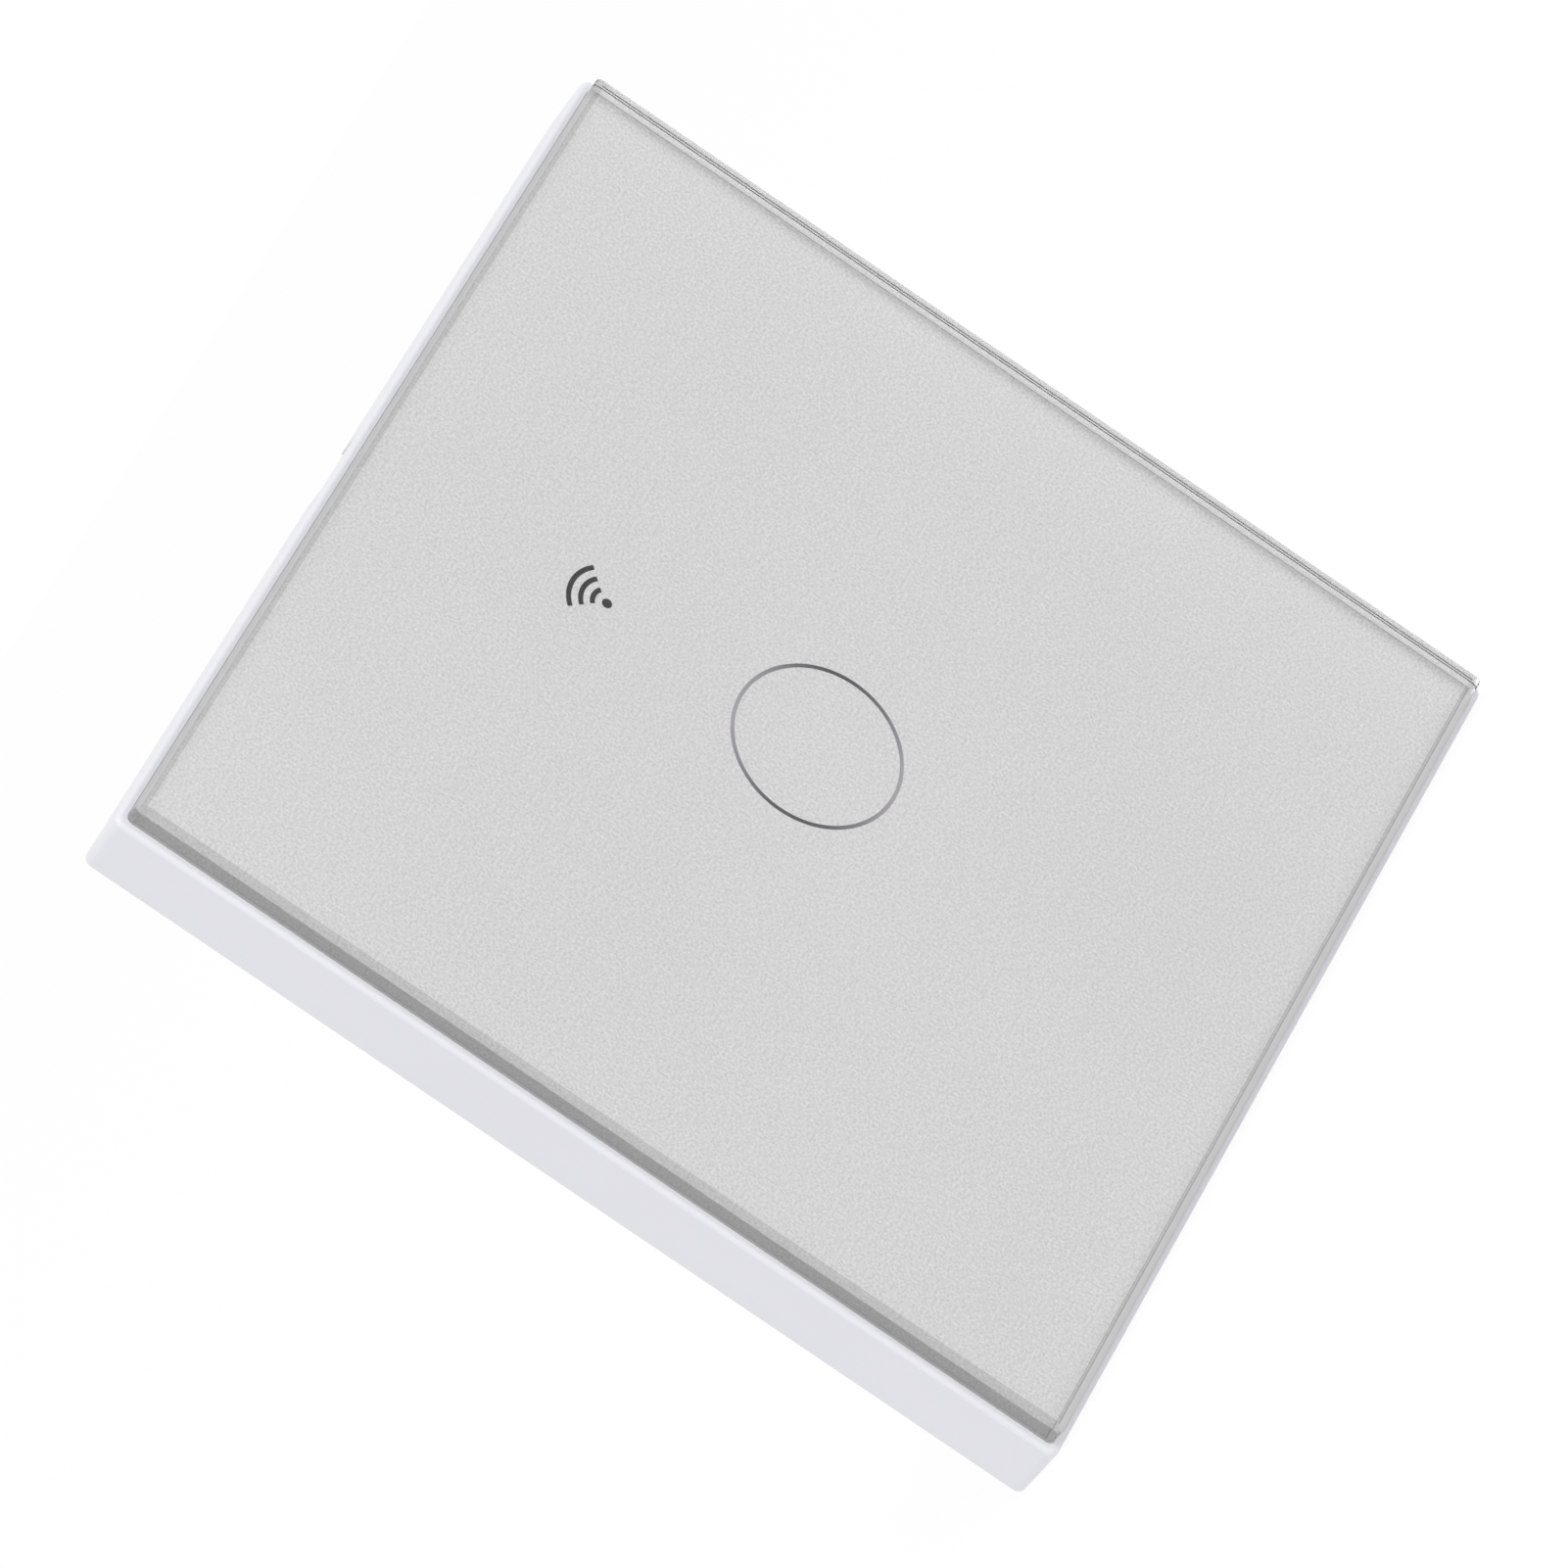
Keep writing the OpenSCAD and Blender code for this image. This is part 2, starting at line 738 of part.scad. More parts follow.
module small_chips() {
    step_x = 2.2;
    step_y = 1.9;
    side_x = 6.5;
    side_y = -11.5;
    color([0.35, 0.3, 0.26]) {
        for (i = [0:2], j = [0:2]) chip(row_x + step_x * i, row_y + step_y * j, chip_l, chip_w, chip_h);
        for (s = [-1, 1]) chip(s * side_x, side_y, chip_w, chip_l, chip_h);
    }
}

module header_bar(z, h) {
    translate([0, header_y, z]) linear_extrude(h) square([header_l, header_w], center = true);
}

module pin_cut(side, z0, z1) {
    pin_row() translate([0, 0, z0]) linear_extrude(z1 - z0) square(side, center = true);
}

module header_strip() {
    color([0.1, 0.1, 0.1]) difference() {
        header_bar(touch_z - strip_h, strip_h);
        pin_cut(pin_s, touch_z - strip_h - 1, touch_z + 1);
    }
}

module header_pins() {
    color("gold") pin_cut(pin_s, power_top + pin_lift, touch_top + pin_tail);
}

module header_socket() {
    color([0.1, 0.1, 0.1]) difference() {
        header_bar(power_top, socket_h);
        pin_cut(pin_s + 2 * socket_well, power_top + socket_floor, touch_z);
    }
}

// power board

module power_board() {
    color([0.12, 0.35, 0.22]) difference() {
        round_plate(power_w, power_corner_r, power_z, power_top);
        at_corners(post_at, post_at) rod(post_d + 4 * board_gap, power_z - 1, power_top + 1);
        at_corners(box_in / 2, box_in / 2) translate([0, 0, power_z - 1])
            linear_extrude(power_t + 2) square(post_d, center = true);
    }
}

module relay_base() {
    gap = case_t + run_gap;
    color([0.1, 0.2, 0.4]) block(relay_x + gap, relay_x + relay_l - gap,
        relay_y + gap, relay_y + relay_w - gap, base_z, power_z);
}

module relay_case() {
    color([0.15, 0.3, 0.6]) difference() {
        block(relay_x, relay_x + relay_l, relay_y, relay_y + relay_w, power_z - relay_h, power_z);
        block(relay_x + case_t, relay_x + relay_l - case_t,
            relay_y + case_t, relay_y + relay_w - case_t, power_z - relay_h + case_t, power_z + 1);
    }
}

module relay_bobbin() {
    color("white") translate([coil_x, relay_my, 0]) difference() {
        union() {
            rod(flange_d, bobbin_top, bobbin_top + bobbin_t);
            rod(flange_d, bobbin_end - bobbin_t, bobbin_end);
            rod(spool_d, bobbin_top, bobbin_end);
        }
        rod(core_d, bobbin_top - 1, bobbin_end + 1);
    }
}

module relay_coil() {
    color([0.7, 0.35, 0.15]) translate([coil_x, relay_my, 0]) difference() {
        rod(coil_d, bobbin_top + bobbin_t, bobbin_end - bobbin_t);
        rod(spool_d, bobbin_top, bobbin_end);
    }
}

module relay_core() {
    color("silver") translate([coil_x, relay_my, 0]) {
        rod(pole_d, pole_z, pole_z + pole_t);
        rod(core_d, pole_z, bobbin_end);
    }
}

module relay_yoke() {
    color("silver") translate([0, relay_my, 0]) {
        block(relay_in_x, coil_x + pole_d / 2, -arm_w / 2, arm_w / 2, bobbin_end, base_z);
        block(relay_in_x, relay_in_x + yoke_t, -arm_w / 2, arm_w / 2, pivot_z, base_z);
        translate([relay_in_x + yoke_t / 2, 0, pivot_z]) rotate([90, 0, 0])
            cylinder(d = yoke_t, h = arm_w, center = true);
    }
}

module relay_contact() {
    z = arm_z + button_h + contact_gap;
    x1 = relay_x + relay_l - case_t - case_room;
    color([0.8, 0.6, 0.3]) {
        translate([contact_x, relay_my, 0]) rod(button_d, z, z + button_h + eps);
        translate([0, relay_my, 0]) {
            block(contact_x - button_d / 2, x1, -post_w / 2, post_w / 2,
                z + button_h, z + button_h + strip_t);
            block(x1 - strip_t, x1, -post_w / 2, post_w / 2, z + button_h, base_z);
        }
    }
}

module relay_armature() {
    color("silver") translate([0, relay_my, 0])
        block(relay_in_x, relay_in_x + arm_l, -arm_w / 2, arm_w / 2, arm_z, arm_z + arm_t);
}

module relay_leaf() {
    color([0.8, 0.6, 0.3]) {
        translate([0, relay_my, 0])
            block(relay_in_x + leaf_in, contact_x + button_d / 2, -leaf_w / 2, leaf_w / 2, arm_top, arm_z);
        translate([contact_x, relay_my, 0]) rod(button_d, arm_z - eps, arm_z + button_h);
    }
}

module transformer_core() {
    y = trafo_y + trafo_d / 2;
    x = trafo_x + trafo_w / 2;
    color([0.25, 0.25, 0.27]) translate([x, y, power_z - trafo_h]) {
        difference() {
            block(-trafo_w / 2, trafo_w / 2, -trafo_stack / 2, trafo_stack / 2, 0, trafo_h);
            block(-trafo_w / 2 + trafo_bar, trafo_w / 2 - trafo_bar, -trafo_stack, trafo_stack,
                trafo_bar, trafo_h - trafo_bar);
        }
        rod(trafo_leg_d, trafo_bar - eps, trafo_h - trafo_bar + eps);
    }
}

module transformer_coil() {
    y = trafo_y + trafo_d / 2;
    x = trafo_x + trafo_w / 2;
    d = trafo_w - 2 * trafo_bar - 2 * board_gap;
    color([0.85, 0.7, 0.2]) translate([x, y, power_z - trafo_h]) difference() {
        rod(d, trafo_bar + board_gap, trafo_h - trafo_bar - board_gap);
        rod(trafo_leg_d, 0, trafo_h);
    }
}

module bulk_capacitor() {
    crimp = 0.4;
    crimp_up = 1.6;
    color([0.1, 0.1, 0.12]) translate([bulk_at.x, bulk_at.y, power_z]) rotate_extrude() difference() {
        translate([0, -bulk_h]) square([bulk_d / 2, bulk_h]);
        translate([bulk_d / 2, -crimp_up]) circle(crimp);
    }
}

module film_capacitor() {
    color([0.8, 0.65, 0.1]) translate([film_at.x, film_at.y, power_z - film_h])
        linear_extrude(film_h) round_rect(film_l, film_w, film_r);
}

module along_fuse(d, y0, y1) {
    translate([fuse_x, y0, power_z - fuse_d / 2]) rotate([-90, 0, 0]) cylinder(d = d, h = y1 - y0);
}

module fuse_tube() {
    inset = 0.3;
    color([0.85, 0.85, 0.8]) along_fuse(fuse_d - 2 * inset, fuse_y + fuse_cap, fuse_y + fuse_l - fuse_cap);
}

module fuse_caps() {
    color("silver") {
        along_fuse(fuse_d, fuse_y, fuse_y + fuse_cap);
        along_fuse(fuse_d, fuse_y + fuse_l - fuse_cap, fuse_y + fuse_l);
    }
}

module varistor() {
    color([0.2, 0.4, 0.7]) translate([disc_at.x, disc_at.y, power_z - disc_d / 2])
        rotate([-90, 0, 0]) cylinder(d = disc_d, h = disc_t, center = true);
}

module choke() {
    lip = 1.2;
    waist = 0.5;
    color([0.3, 0.3, 0.32]) translate([choke_at.x, choke_at.y, power_z]) {
        rod(choke_d, -lip, 0);
        rod(choke_d - 2 * waist, -choke_h, 0);
        rod(choke_d, -choke_h, -choke_h + lip);
    }
}

module rectifier() {
    color([0.12, 0.12, 0.13]) translate([bridge_at.x, bridge_at.y, power_z - bridge_h])
        linear_extrude(bridge_h) round_rect(bridge_l, bridge_w, bridge_r);
}

// terminals

module terminal_block() {
    groove = 0.6;
    funnel = 0.4;
    color([0.2, 0.45, 0.3]) difference() {
        intersection() {
            block(-block_w / 2, block_w / 2, block_y, block_y + term_d, rear_z, power_z);
            box_body();
        }
        for (i = [0:term_count - 1]) translate([term_x(i), 0, 0]) {
            translate([0, screw_y, 0]) {
                rod(head_d + 2 * run_gap, rear_z - 1, neck_z);
                rod(shank_d + 2 * run_gap, neck_z - 1, chamber_z + 1);
            }
            block(-cage_w / 2 - run_gap, cage_w / 2 + run_gap,
                block_y + front_t, block_y + front_t + chamber_d, chamber_z, power_z + 1);
            block(-entry_w / 2, entry_w / 2,
                block_y - 1, block_y + front_t + eps, entry_z, entry_z + entry_h);
            block(-entry_w / 2 - funnel, entry_w / 2 + funnel, block_y - 1, block_y + front_t / 2,
                entry_z - funnel, entry_z + entry_h + funnel);
            block(-tab_w / 2, tab_w / 2, cage_y + cage_d, block_y + term_d + 1, tab_z, tab_z + tab_t);
        }
        for (i = [0:term_count - 2]) translate([term_x(i) + term_pitch / 2, 0, 0]) {
            block(-groove / 2, groove / 2, block_y - 1, block_y + term_d + 1, rear_z - 1, rear_z + groove);
            block(-groove / 2, groove / 2, block_y - 1, block_y + groove, rear_z - 1, power_z - groove);
        }
    }
}

module terminal_tabs() {
    back = block_y + term_d;
    color([0.8, 0.65, 0.35]) for (i = [0:term_count - 1]) translate([term_x(i), 0, 0]) {
        block(-tab_w / 2, tab_w / 2, cage_y + tab_in, back + leg_t, tab_z, tab_z + tab_t);
        block(-tab_w / 2, tab_w / 2, back, back + leg_t, tab_z, power_z);
    }
}

module terminal_screw(i) {
    notch = 0.8;
    color("silver") translate([term_x(i), screw_y, neck_z]) difference() {
        union() {
            rod(head_d, -head_h, -screw_fit);
            rod(shank_d, -head_h, shank_l);
        }
        block(-head_d, head_d, -notch / 2, notch / 2, -head_h - 1, -head_h / 2);
    }
}

module clamp_cage(i) {
    color([0.8, 0.75, 0.6]) translate([term_x(i), 0, 0]) difference() {
        block(-cage_w / 2, cage_w / 2, cage_y, cage_y + cage_d, cage_z, cage_z + cage_h);
        block(-cage_in / 2, cage_in / 2, cage_y - 1, cage_y + cage_d + 1,
            cage_z + cage_cap, cage_z + cage_cap + window_h);
        translate([0, screw_y, 0]) rod(shank_d + 2 * screw_fit, cage_z - 1, cage_z + cage_cap + 1);
    }
}

on_wall() glass_panel();
on_wall() panel_tape();
on_wall() front_frame();
on_wall() rear_housing();
on_wall() inner_cover();
on_wall() cover_screws();
on_wall() touch_board();
on_wall() board_screws();
on_wall() touch_spring();
on_wall() light_ring();
on_wall() ring_lights();
on_wall() mark_light();
on_wall() mark_shroud();
on_wall() radio_shield();
on_wall() touch_chip();
on_wall() small_chips();
on_wall() header_strip();
on_wall() header_pins();
on_wall() header_socket();
on_wall() power_board();
on_wall() relay_base();
on_wall() relay_case();
on_wall() relay_bobbin();
on_wall() relay_coil();
on_wall() relay_core();
on_wall() relay_yoke();
on_wall() relay_contact();
on_wall() relay_armature();
on_wall() relay_leaf();
on_wall() transformer_coil();
on_wall() transformer_core();
on_wall() bulk_capacitor();
on_wall() film_capacitor();
on_wall() fuse_tube();
on_wall() fuse_caps();
on_wall() varistor();
on_wall() choke();
on_wall() rectifier();
on_wall() terminal_block();
on_wall() terminal_tabs();
on_wall() terminal_screw(0);  // terminal_screw_1
on_wall() terminal_screw(1);  // terminal_screw_2
on_wall() terminal_screw(2);  // terminal_screw_3
on_wall() clamp_cage(0);  // clamp_cage_1
on_wall() clamp_cage(1);  // clamp_cage_2
on_wall() clamp_cage(2);  // clamp_cage_3
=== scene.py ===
import math

import bpy
from mathutils import Matrix, Vector


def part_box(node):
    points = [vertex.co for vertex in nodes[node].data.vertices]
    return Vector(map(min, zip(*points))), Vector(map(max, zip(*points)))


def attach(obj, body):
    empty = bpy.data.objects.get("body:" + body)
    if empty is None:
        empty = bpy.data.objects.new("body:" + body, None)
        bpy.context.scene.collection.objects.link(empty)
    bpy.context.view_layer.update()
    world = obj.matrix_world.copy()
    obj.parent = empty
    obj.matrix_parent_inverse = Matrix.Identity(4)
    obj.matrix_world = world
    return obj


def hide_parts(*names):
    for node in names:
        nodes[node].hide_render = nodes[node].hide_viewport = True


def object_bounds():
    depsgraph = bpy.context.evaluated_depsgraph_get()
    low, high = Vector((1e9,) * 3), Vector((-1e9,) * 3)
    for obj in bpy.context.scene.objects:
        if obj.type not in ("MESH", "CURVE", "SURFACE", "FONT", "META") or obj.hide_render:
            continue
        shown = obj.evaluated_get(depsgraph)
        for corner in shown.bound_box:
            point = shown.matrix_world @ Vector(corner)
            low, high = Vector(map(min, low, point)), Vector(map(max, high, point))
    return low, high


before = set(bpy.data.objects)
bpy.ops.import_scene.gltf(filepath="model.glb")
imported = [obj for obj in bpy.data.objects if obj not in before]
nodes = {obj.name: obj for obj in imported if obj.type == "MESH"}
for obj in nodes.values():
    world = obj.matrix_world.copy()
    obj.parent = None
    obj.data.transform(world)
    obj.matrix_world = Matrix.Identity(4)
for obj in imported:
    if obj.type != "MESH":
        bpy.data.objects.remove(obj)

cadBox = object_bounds()
mm = 0.001
print("frame loaded:", len(nodes), "nodes")


# shader maths

class Val:
    # one shader value; maths on it adds Math nodes
    def __init__(self, paint, socket):
        self.paint = paint
        self.socket = socket

    def math(self, operation, *others):
        return self.paint.node("ShaderNodeMath", {"operation": operation}, [self, *others])

    def __add__(self, other):
        return self.math("ADD", other)

    def __radd__(self, other):
        return self.math("ADD", other)

    def __sub__(self, other):
        return self.math("SUBTRACT", other)

    def __rsub__(self, other):
        return self.paint.node("ShaderNodeMath", {"operation": "SUBTRACT"}, [other, self])

    def __mul__(self, other):
        return self.math("MULTIPLY", other)

    def __rmul__(self, other):
        return self.math("MULTIPLY", other)

    def __abs__(self):
        return self.math("ABSOLUTE")

    def larger(self, other):
        return self.math("MAXIMUM", other)

    def soft(self, low, high):
        # 0 at low, 1 at high, smooth between; low may be the larger number
        return self.paint.node("ShaderNodeMapRange", {"interpolation_type": "SMOOTHSTEP"},
                               {"Value": self, "From Min": low, "From Max": high})


class Paint:
    # a node tree being built; node() adds any node and wires its sockets
    def __init__(self, name, tree=None):
        if tree is None:
            self.material = bpy.data.materials.new(name)
            self.material.use_nodes = True
            tree = self.material.node_tree
            self.shader = tree.nodes["Principled BSDF"]
        self.tree = tree

    def node(self, kind, settings=None, sockets=None, out=0):
        made = self.tree.nodes.new(kind)
        for key, value in (settings or {}).items():
            setattr(made, key, value)
        if isinstance(sockets, (list, tuple)):
            sockets = dict(enumerate(sockets))
        for key, value in (sockets or {}).items():
            self.plug(made.inputs[key], value)
        return Val(self, made.outputs[out])

    def plug(self, socket, value):
        if isinstance(value, Val):
            self.tree.links.new(value.socket, socket)
        else:
            socket.default_value = value

    def set(self, **values):
        # a Principled socket by its name, with _ for a space
        for key, value in values.items():
            self.plug(self.shader.inputs[key.replace("_", " ")], value)
        return self

    def place(self, stretch=None):
        spot = self.node("ShaderNodeTexCoord", out="Object")
        if stretch:
            spot = self.node("ShaderNodeMapping", None, {"Vector": spot, "Scale": stretch})
        return spot

    def axes(self, *names):
        # the named coordinates of a point of the piece
        spot = self.place()
        return [self.node("ShaderNodeSeparateXYZ", None, [spot], name) for name in names]

    def away(self, centre):
        # distance from a point of the piece
        return self.node("ShaderNodeVectorMath", {"operation": "DISTANCE"},
                         [self.place(), tuple(centre)], "Value")

    def noise(self, scale, detail=2.0, rough=0.5, stretch=None):
        return self.node("ShaderNodeTexNoise", None, {"Vector": self.place(stretch), "Scale": scale,
                                                      "Detail": detail, "Roughness": rough})

    def mix(self, factor, one, two):
        # two colours by a factor: a Mix node takes them at sockets 6 and 7 and gives the colour at output 2
        sockets = {0: factor}
        for key, value in ((6, one), (7, two)):
            sockets[key] = value if isinstance(value, Val) else (*value, 1.0)
        return self.node("ShaderNodeMix", {"data_type": "RGBA"}, sockets, 2)

    def bump(self, height, strength, distance):
        normal = self.node("ShaderNodeBump", None,
                           {"Height": height, "Strength": strength, "Distance": distance})
        return self.set(Normal=normal)

    def lightRays(self, *names):
        # 1 on any of these kinds of ray
        seen = None
        for name in names:
            ray = self.node("ShaderNodeLightPath", out=name)
            seen = ray if seen is None else seen.larger(ray)
        return seen


# materials

def silverPrint(shadeLineAt):
    # metal flake ink on the back of the glass: a field, a thin dark line round it that is painted shade of
    # the print's edge, and a pale border
    ink = dict(dark=(0.66, 0.66, 0.665), light=(0.98, 0.98, 0.985), line=(0.58, 0.58, 0.585),
               border=(0.995, 0.995, 0.995), shadeLineW=0.1 * mm, shadeTopFade=0.9, flake=4200.0, flakeDetail=1.5,
               flakeRough=0.6, flakeLow=0.2, flakeHigh=0.8, cloud=30.0, cloudShare=0.15,
               rough=0.36, roughSpread=0.12)
    inner, outer = ink["shadeLineW"] * 0.4, ink["shadeLineW"] * 0.6   # the line's edges are soft between these
    p = Paint("silverPrint")
    flake = p.noise(ink["flake"], ink["flakeDetail"], ink["flakeRough"])
    cloud = p.noise(ink["cloud"])
    x, z = p.axes("X", "Z")
    out = abs(x).larger(abs(z))
    # painted shade: the dark line stands for the shadow at the print's edge
    line = out.soft(shadeLineAt - outer, shadeLineAt - inner)
    # the painted shade line is faint along the top
    line = line * (1.0 - z.soft(shadeLineAt - ink["shadeLineW"], shadeLineAt - outer) * ink["shadeTopFade"])
    border = out.soft(shadeLineAt + inner, shadeLineAt + outer)
    level = flake.soft(ink["flakeLow"], ink["flakeHigh"]) * (1.0 - ink["cloudShare"])
    field = p.mix(level + cloud * ink["cloudShare"], ink["dark"], ink["light"])
    p.set(Base_Color=p.mix(border, p.mix(line, field, ink["line"]), ink["border"]), Metallic=1.0,
          Roughness=ink["rough"] + flake * ink["roughSpread"])
    return p.material


def markInk():
    # flat black ink
    ink = dict(dark=(0.004, 0.004, 0.005), light=(0.01, 0.01, 0.011), cloud=2600.0,
               grain=900.0, rough=0.5, roughSpread=0.1)
    p = Paint("markInk")
    p.set(Base_Color=p.mix(p.noise(ink["cloud"]), ink["dark"], ink["light"]),
          Roughness=ink["rough"] + p.noise(ink["grain"]) * ink["roughSpread"])
    return p.material


def ringInk(radius, up):
    # smoked ink, palest where the ring crosses a line that leans a little from upright
    ink = dict(dark=(0.132, 0.128, 0.135), pale=(0.57, 0.545, 0.575), lean=math.radians(10.0),
               grain=900.0, rough=0.5, roughSpread=0.1)
    p = Paint("smokedRing")
    x, z = p.axes("X", "Z")
    along = ((z - up) * math.cos(ink["lean"]) - x * math.sin(ink["lean"])) * (1.0 / radius)
    p.set(Base_Color=p.mix(along * along, ink["dark"], ink["pale"]), Metallic=1.0,
          Roughness=ink["rough"] + p.noise(ink["grain"]) * ink["roughSpread"])
    return p.material


def clearGlass(half, front):
    # polished faces and sides, a finely ground bevel; the bevel's grey tint is painted shade
    glass = dict(clear=(0.99, 0.99, 0.99), ground=(0.66, 0.66, 0.66), ior=1.5, bevelIn=0.8 * mm,
                 bevelDeep=0.2 * mm, rough=0.12, sideRough=0.05, step=0.005 * mm)
    inner, foot = half - glass["bevelIn"], front + glass["bevelDeep"]
    p = Paint("clearGlass")
    x, y, z = p.axes("X", "Y", "Z")
    rim = abs(x).larger(abs(z)).soft(inner - glass["step"], inner + glass["step"])
    high = y.soft(foot + glass["step"], foot - glass["step"])
    bevel = rim * high
    side = rim * (1.0 - high)
    # painted shade: the ground colour darkens the bevel
    p.set(Base_Color=p.mix(bevel, glass["clear"], glass["ground"]),
          Roughness=bevel * glass["rough"] + side * glass["sideRough"],
          IOR=glass["ior"], Transmission_Weight=1.0)
    return p.material


def plastic(name, base, shade, rough, grain=900.0, depth=0.03, bump=0.2):
    # moulded plastic: a slow change of tone, fine spark texture with its depth in mm
    mould = dict(cloud=60.0, sparkDetail=3.0, roughSpread=0.12)
    p = Paint(name)
    spark = p.noise(grain, mould["sparkDetail"])
    p.set(Base_Color=p.mix(p.noise(mould["cloud"]), base, shade),
          Roughness=rough + spark * mould["roughSpread"])
    return p.bump(spark, bump, depth * mm).material


def metal(name, base, shade, rough, stretch=(1, 1, 1), grain=700.0):
    # plated or drawn metal; stretch turns the grain into brush lines
    drawn = dict(cloud=220.0, lineDetail=3.0, lineRough=0.6, roughSpread=0.18, bump=0.1, depth=0.02 * mm)
    p = Paint(name)
    lines = p.noise(grain, drawn["lineDetail"], drawn["lineRough"], stretch)
    p.set(Base_Color=p.mix(p.noise(drawn["cloud"]), base, shade), Metallic=1.0,
          Roughness=rough + lines * drawn["roughSpread"])
    return p.bump(lines, drawn["bump"], drawn["depth"]).material


def boardMask():
    # green solder mask with the weave of the laminate faintly under it
    mask = dict(deep=(0.012, 0.085, 0.035), pale=(0.022, 0.125, 0.055), weave=1500.0, weaveDetail=1.0,
                stretch=0.25, weaveLow=0.35, weaveHigh=0.65, rough=0.28, roughSpread=0.15,
                bump=0.12, depth=0.02 * mm)
    p = Paint("boardMask")
    upright = p.noise(mask["weave"], mask["weaveDetail"], stretch=(1, 1, mask["stretch"]))
    across = p.noise(mask["weave"], mask["weaveDetail"], stretch=(mask["stretch"], 1, 1))
    weave = upright * 0.5 + across * 0.5
    p.set(Base_Color=p.mix(weave.soft(mask["weaveLow"], mask["weaveHigh"]), mask["deep"], mask["pale"]),
          Roughness=mask["rough"] + weave * mask["roughSpread"])
    return p.bump(weave, mask["bump"], mask["depth"]).material


def chipPaint(centre, halfBody, dot):
    # black body with tinned legs beyond it and a moulded dot at pin one
    chip = dict(body=(0.018, 0.018, 0.02), pale=(0.03, 0.03, 0.033), leg=(0.72, 0.72, 0.70),
                legStep=0.01 * mm, dotTone=(0.12, 0.12, 0.12), dotShare=0.6, dotRadius=0.3 * mm,
                dotSoft=1.1, grain=2500.0, grainDetail=3.0, rough=0.55, legPolish=0.25, roughSpread=0.1,
                bump=0.15, depth=0.02 * mm)
    p = Paint("touchChip")
    z = p.axes("Z")[0]
    legs = abs(z - centre.z).soft(halfBody, halfBody + chip["legStep"])
    mark = p.away(dot).soft(chip["dotRadius"] * chip["dotSoft"], chip["dotRadius"])
    grain = p.noise(chip["grain"], chip["grainDetail"])
    body = p.mix(mark * chip["dotShare"], p.mix(grain, chip["body"], chip["pale"]), chip["dotTone"])
    p.set(Base_Color=p.mix(legs, body, chip["leg"]), Metallic=legs,
          Roughness=chip["rough"] - legs * chip["legPolish"] + grain * chip["roughSpread"])
    return p.bump(grain, chip["bump"], chip["depth"]).material


def sleevePaint(centre):
    # shrink sleeve with one pale stripe down its side
    sleeve = dict(base=(0.02, 0.022, 0.03), pale=(0.028, 0.03, 0.04), stripe=(0.42, 0.44, 0.46),
                  width=1.5 * mm, stripeSoft=0.96, sideStep=0.1 * mm, grain=500.0, grainDetail=3.0,
                  rough=0.25, roughSpread=0.15, bump=0.1, depth=0.03 * mm)
    p = Paint("sleevePaint")
    x, z = p.axes("X", "Z")
    side = (z - centre.z).soft(0.0, sleeve["sideStep"])
    band = abs(x - centre.x).soft(sleeve["width"], sleeve["width"] * sleeve["stripeSoft"]) * side
    grain = p.noise(sleeve["grain"], sleeve["grainDetail"])
    base = p.mix(grain, sleeve["base"], sleeve["pale"])
    p.set(Base_Color=p.mix(band, base, sleeve["stripe"]),
          Roughness=sleeve["rough"] + grain * sleeve["roughSpread"])
    return p.bump(grain, sleeve["bump"], sleeve["depth"]).material


def fuseGlass():
    # a clear tube with a little haze
    tube = dict(clear=(0.96, 0.98, 0.97, 1.0), haze=300.0, roughSpread=0.06, ior=1.47)
    p = Paint("fuseGlass")
    p.set(Base_Color=tube["clear"], Roughness=p.noise(tube["haze"]) * tube["roughSpread"],
          IOR=tube["ior"], Transmission_Weight=1.0)
    return p.material


def lightPlastic():
    # milky light guide
    guide = dict(base=(0.86, 0.86, 0.83), shade=(0.80, 0.80, 0.77), cloud=120.0, grain=900.0,
                 grainDetail=3.0, rough=0.4, roughSpread=0.12, milk=0.35, milkDeep=1.0 * mm,
                 milkTint=(1.0, 1.0, 0.9), bump=0.1, depth=0.02 * mm)
    p = Paint("lightPlastic")
    grain = p.noise(guide["grain"], guide["grainDetail"])
    p.set(Base_Color=p.mix(p.noise(guide["cloud"]), guide["base"], guide["shade"]),
          Roughness=guide["rough"] + grain * guide["roughSpread"], Subsurface_Weight=guide["milk"],
          Subsurface_Scale=guide["milkDeep"], Subsurface_Radius=guide["milkTint"])
    return p.bump(grain, guide["bump"], guide["depth"]).material


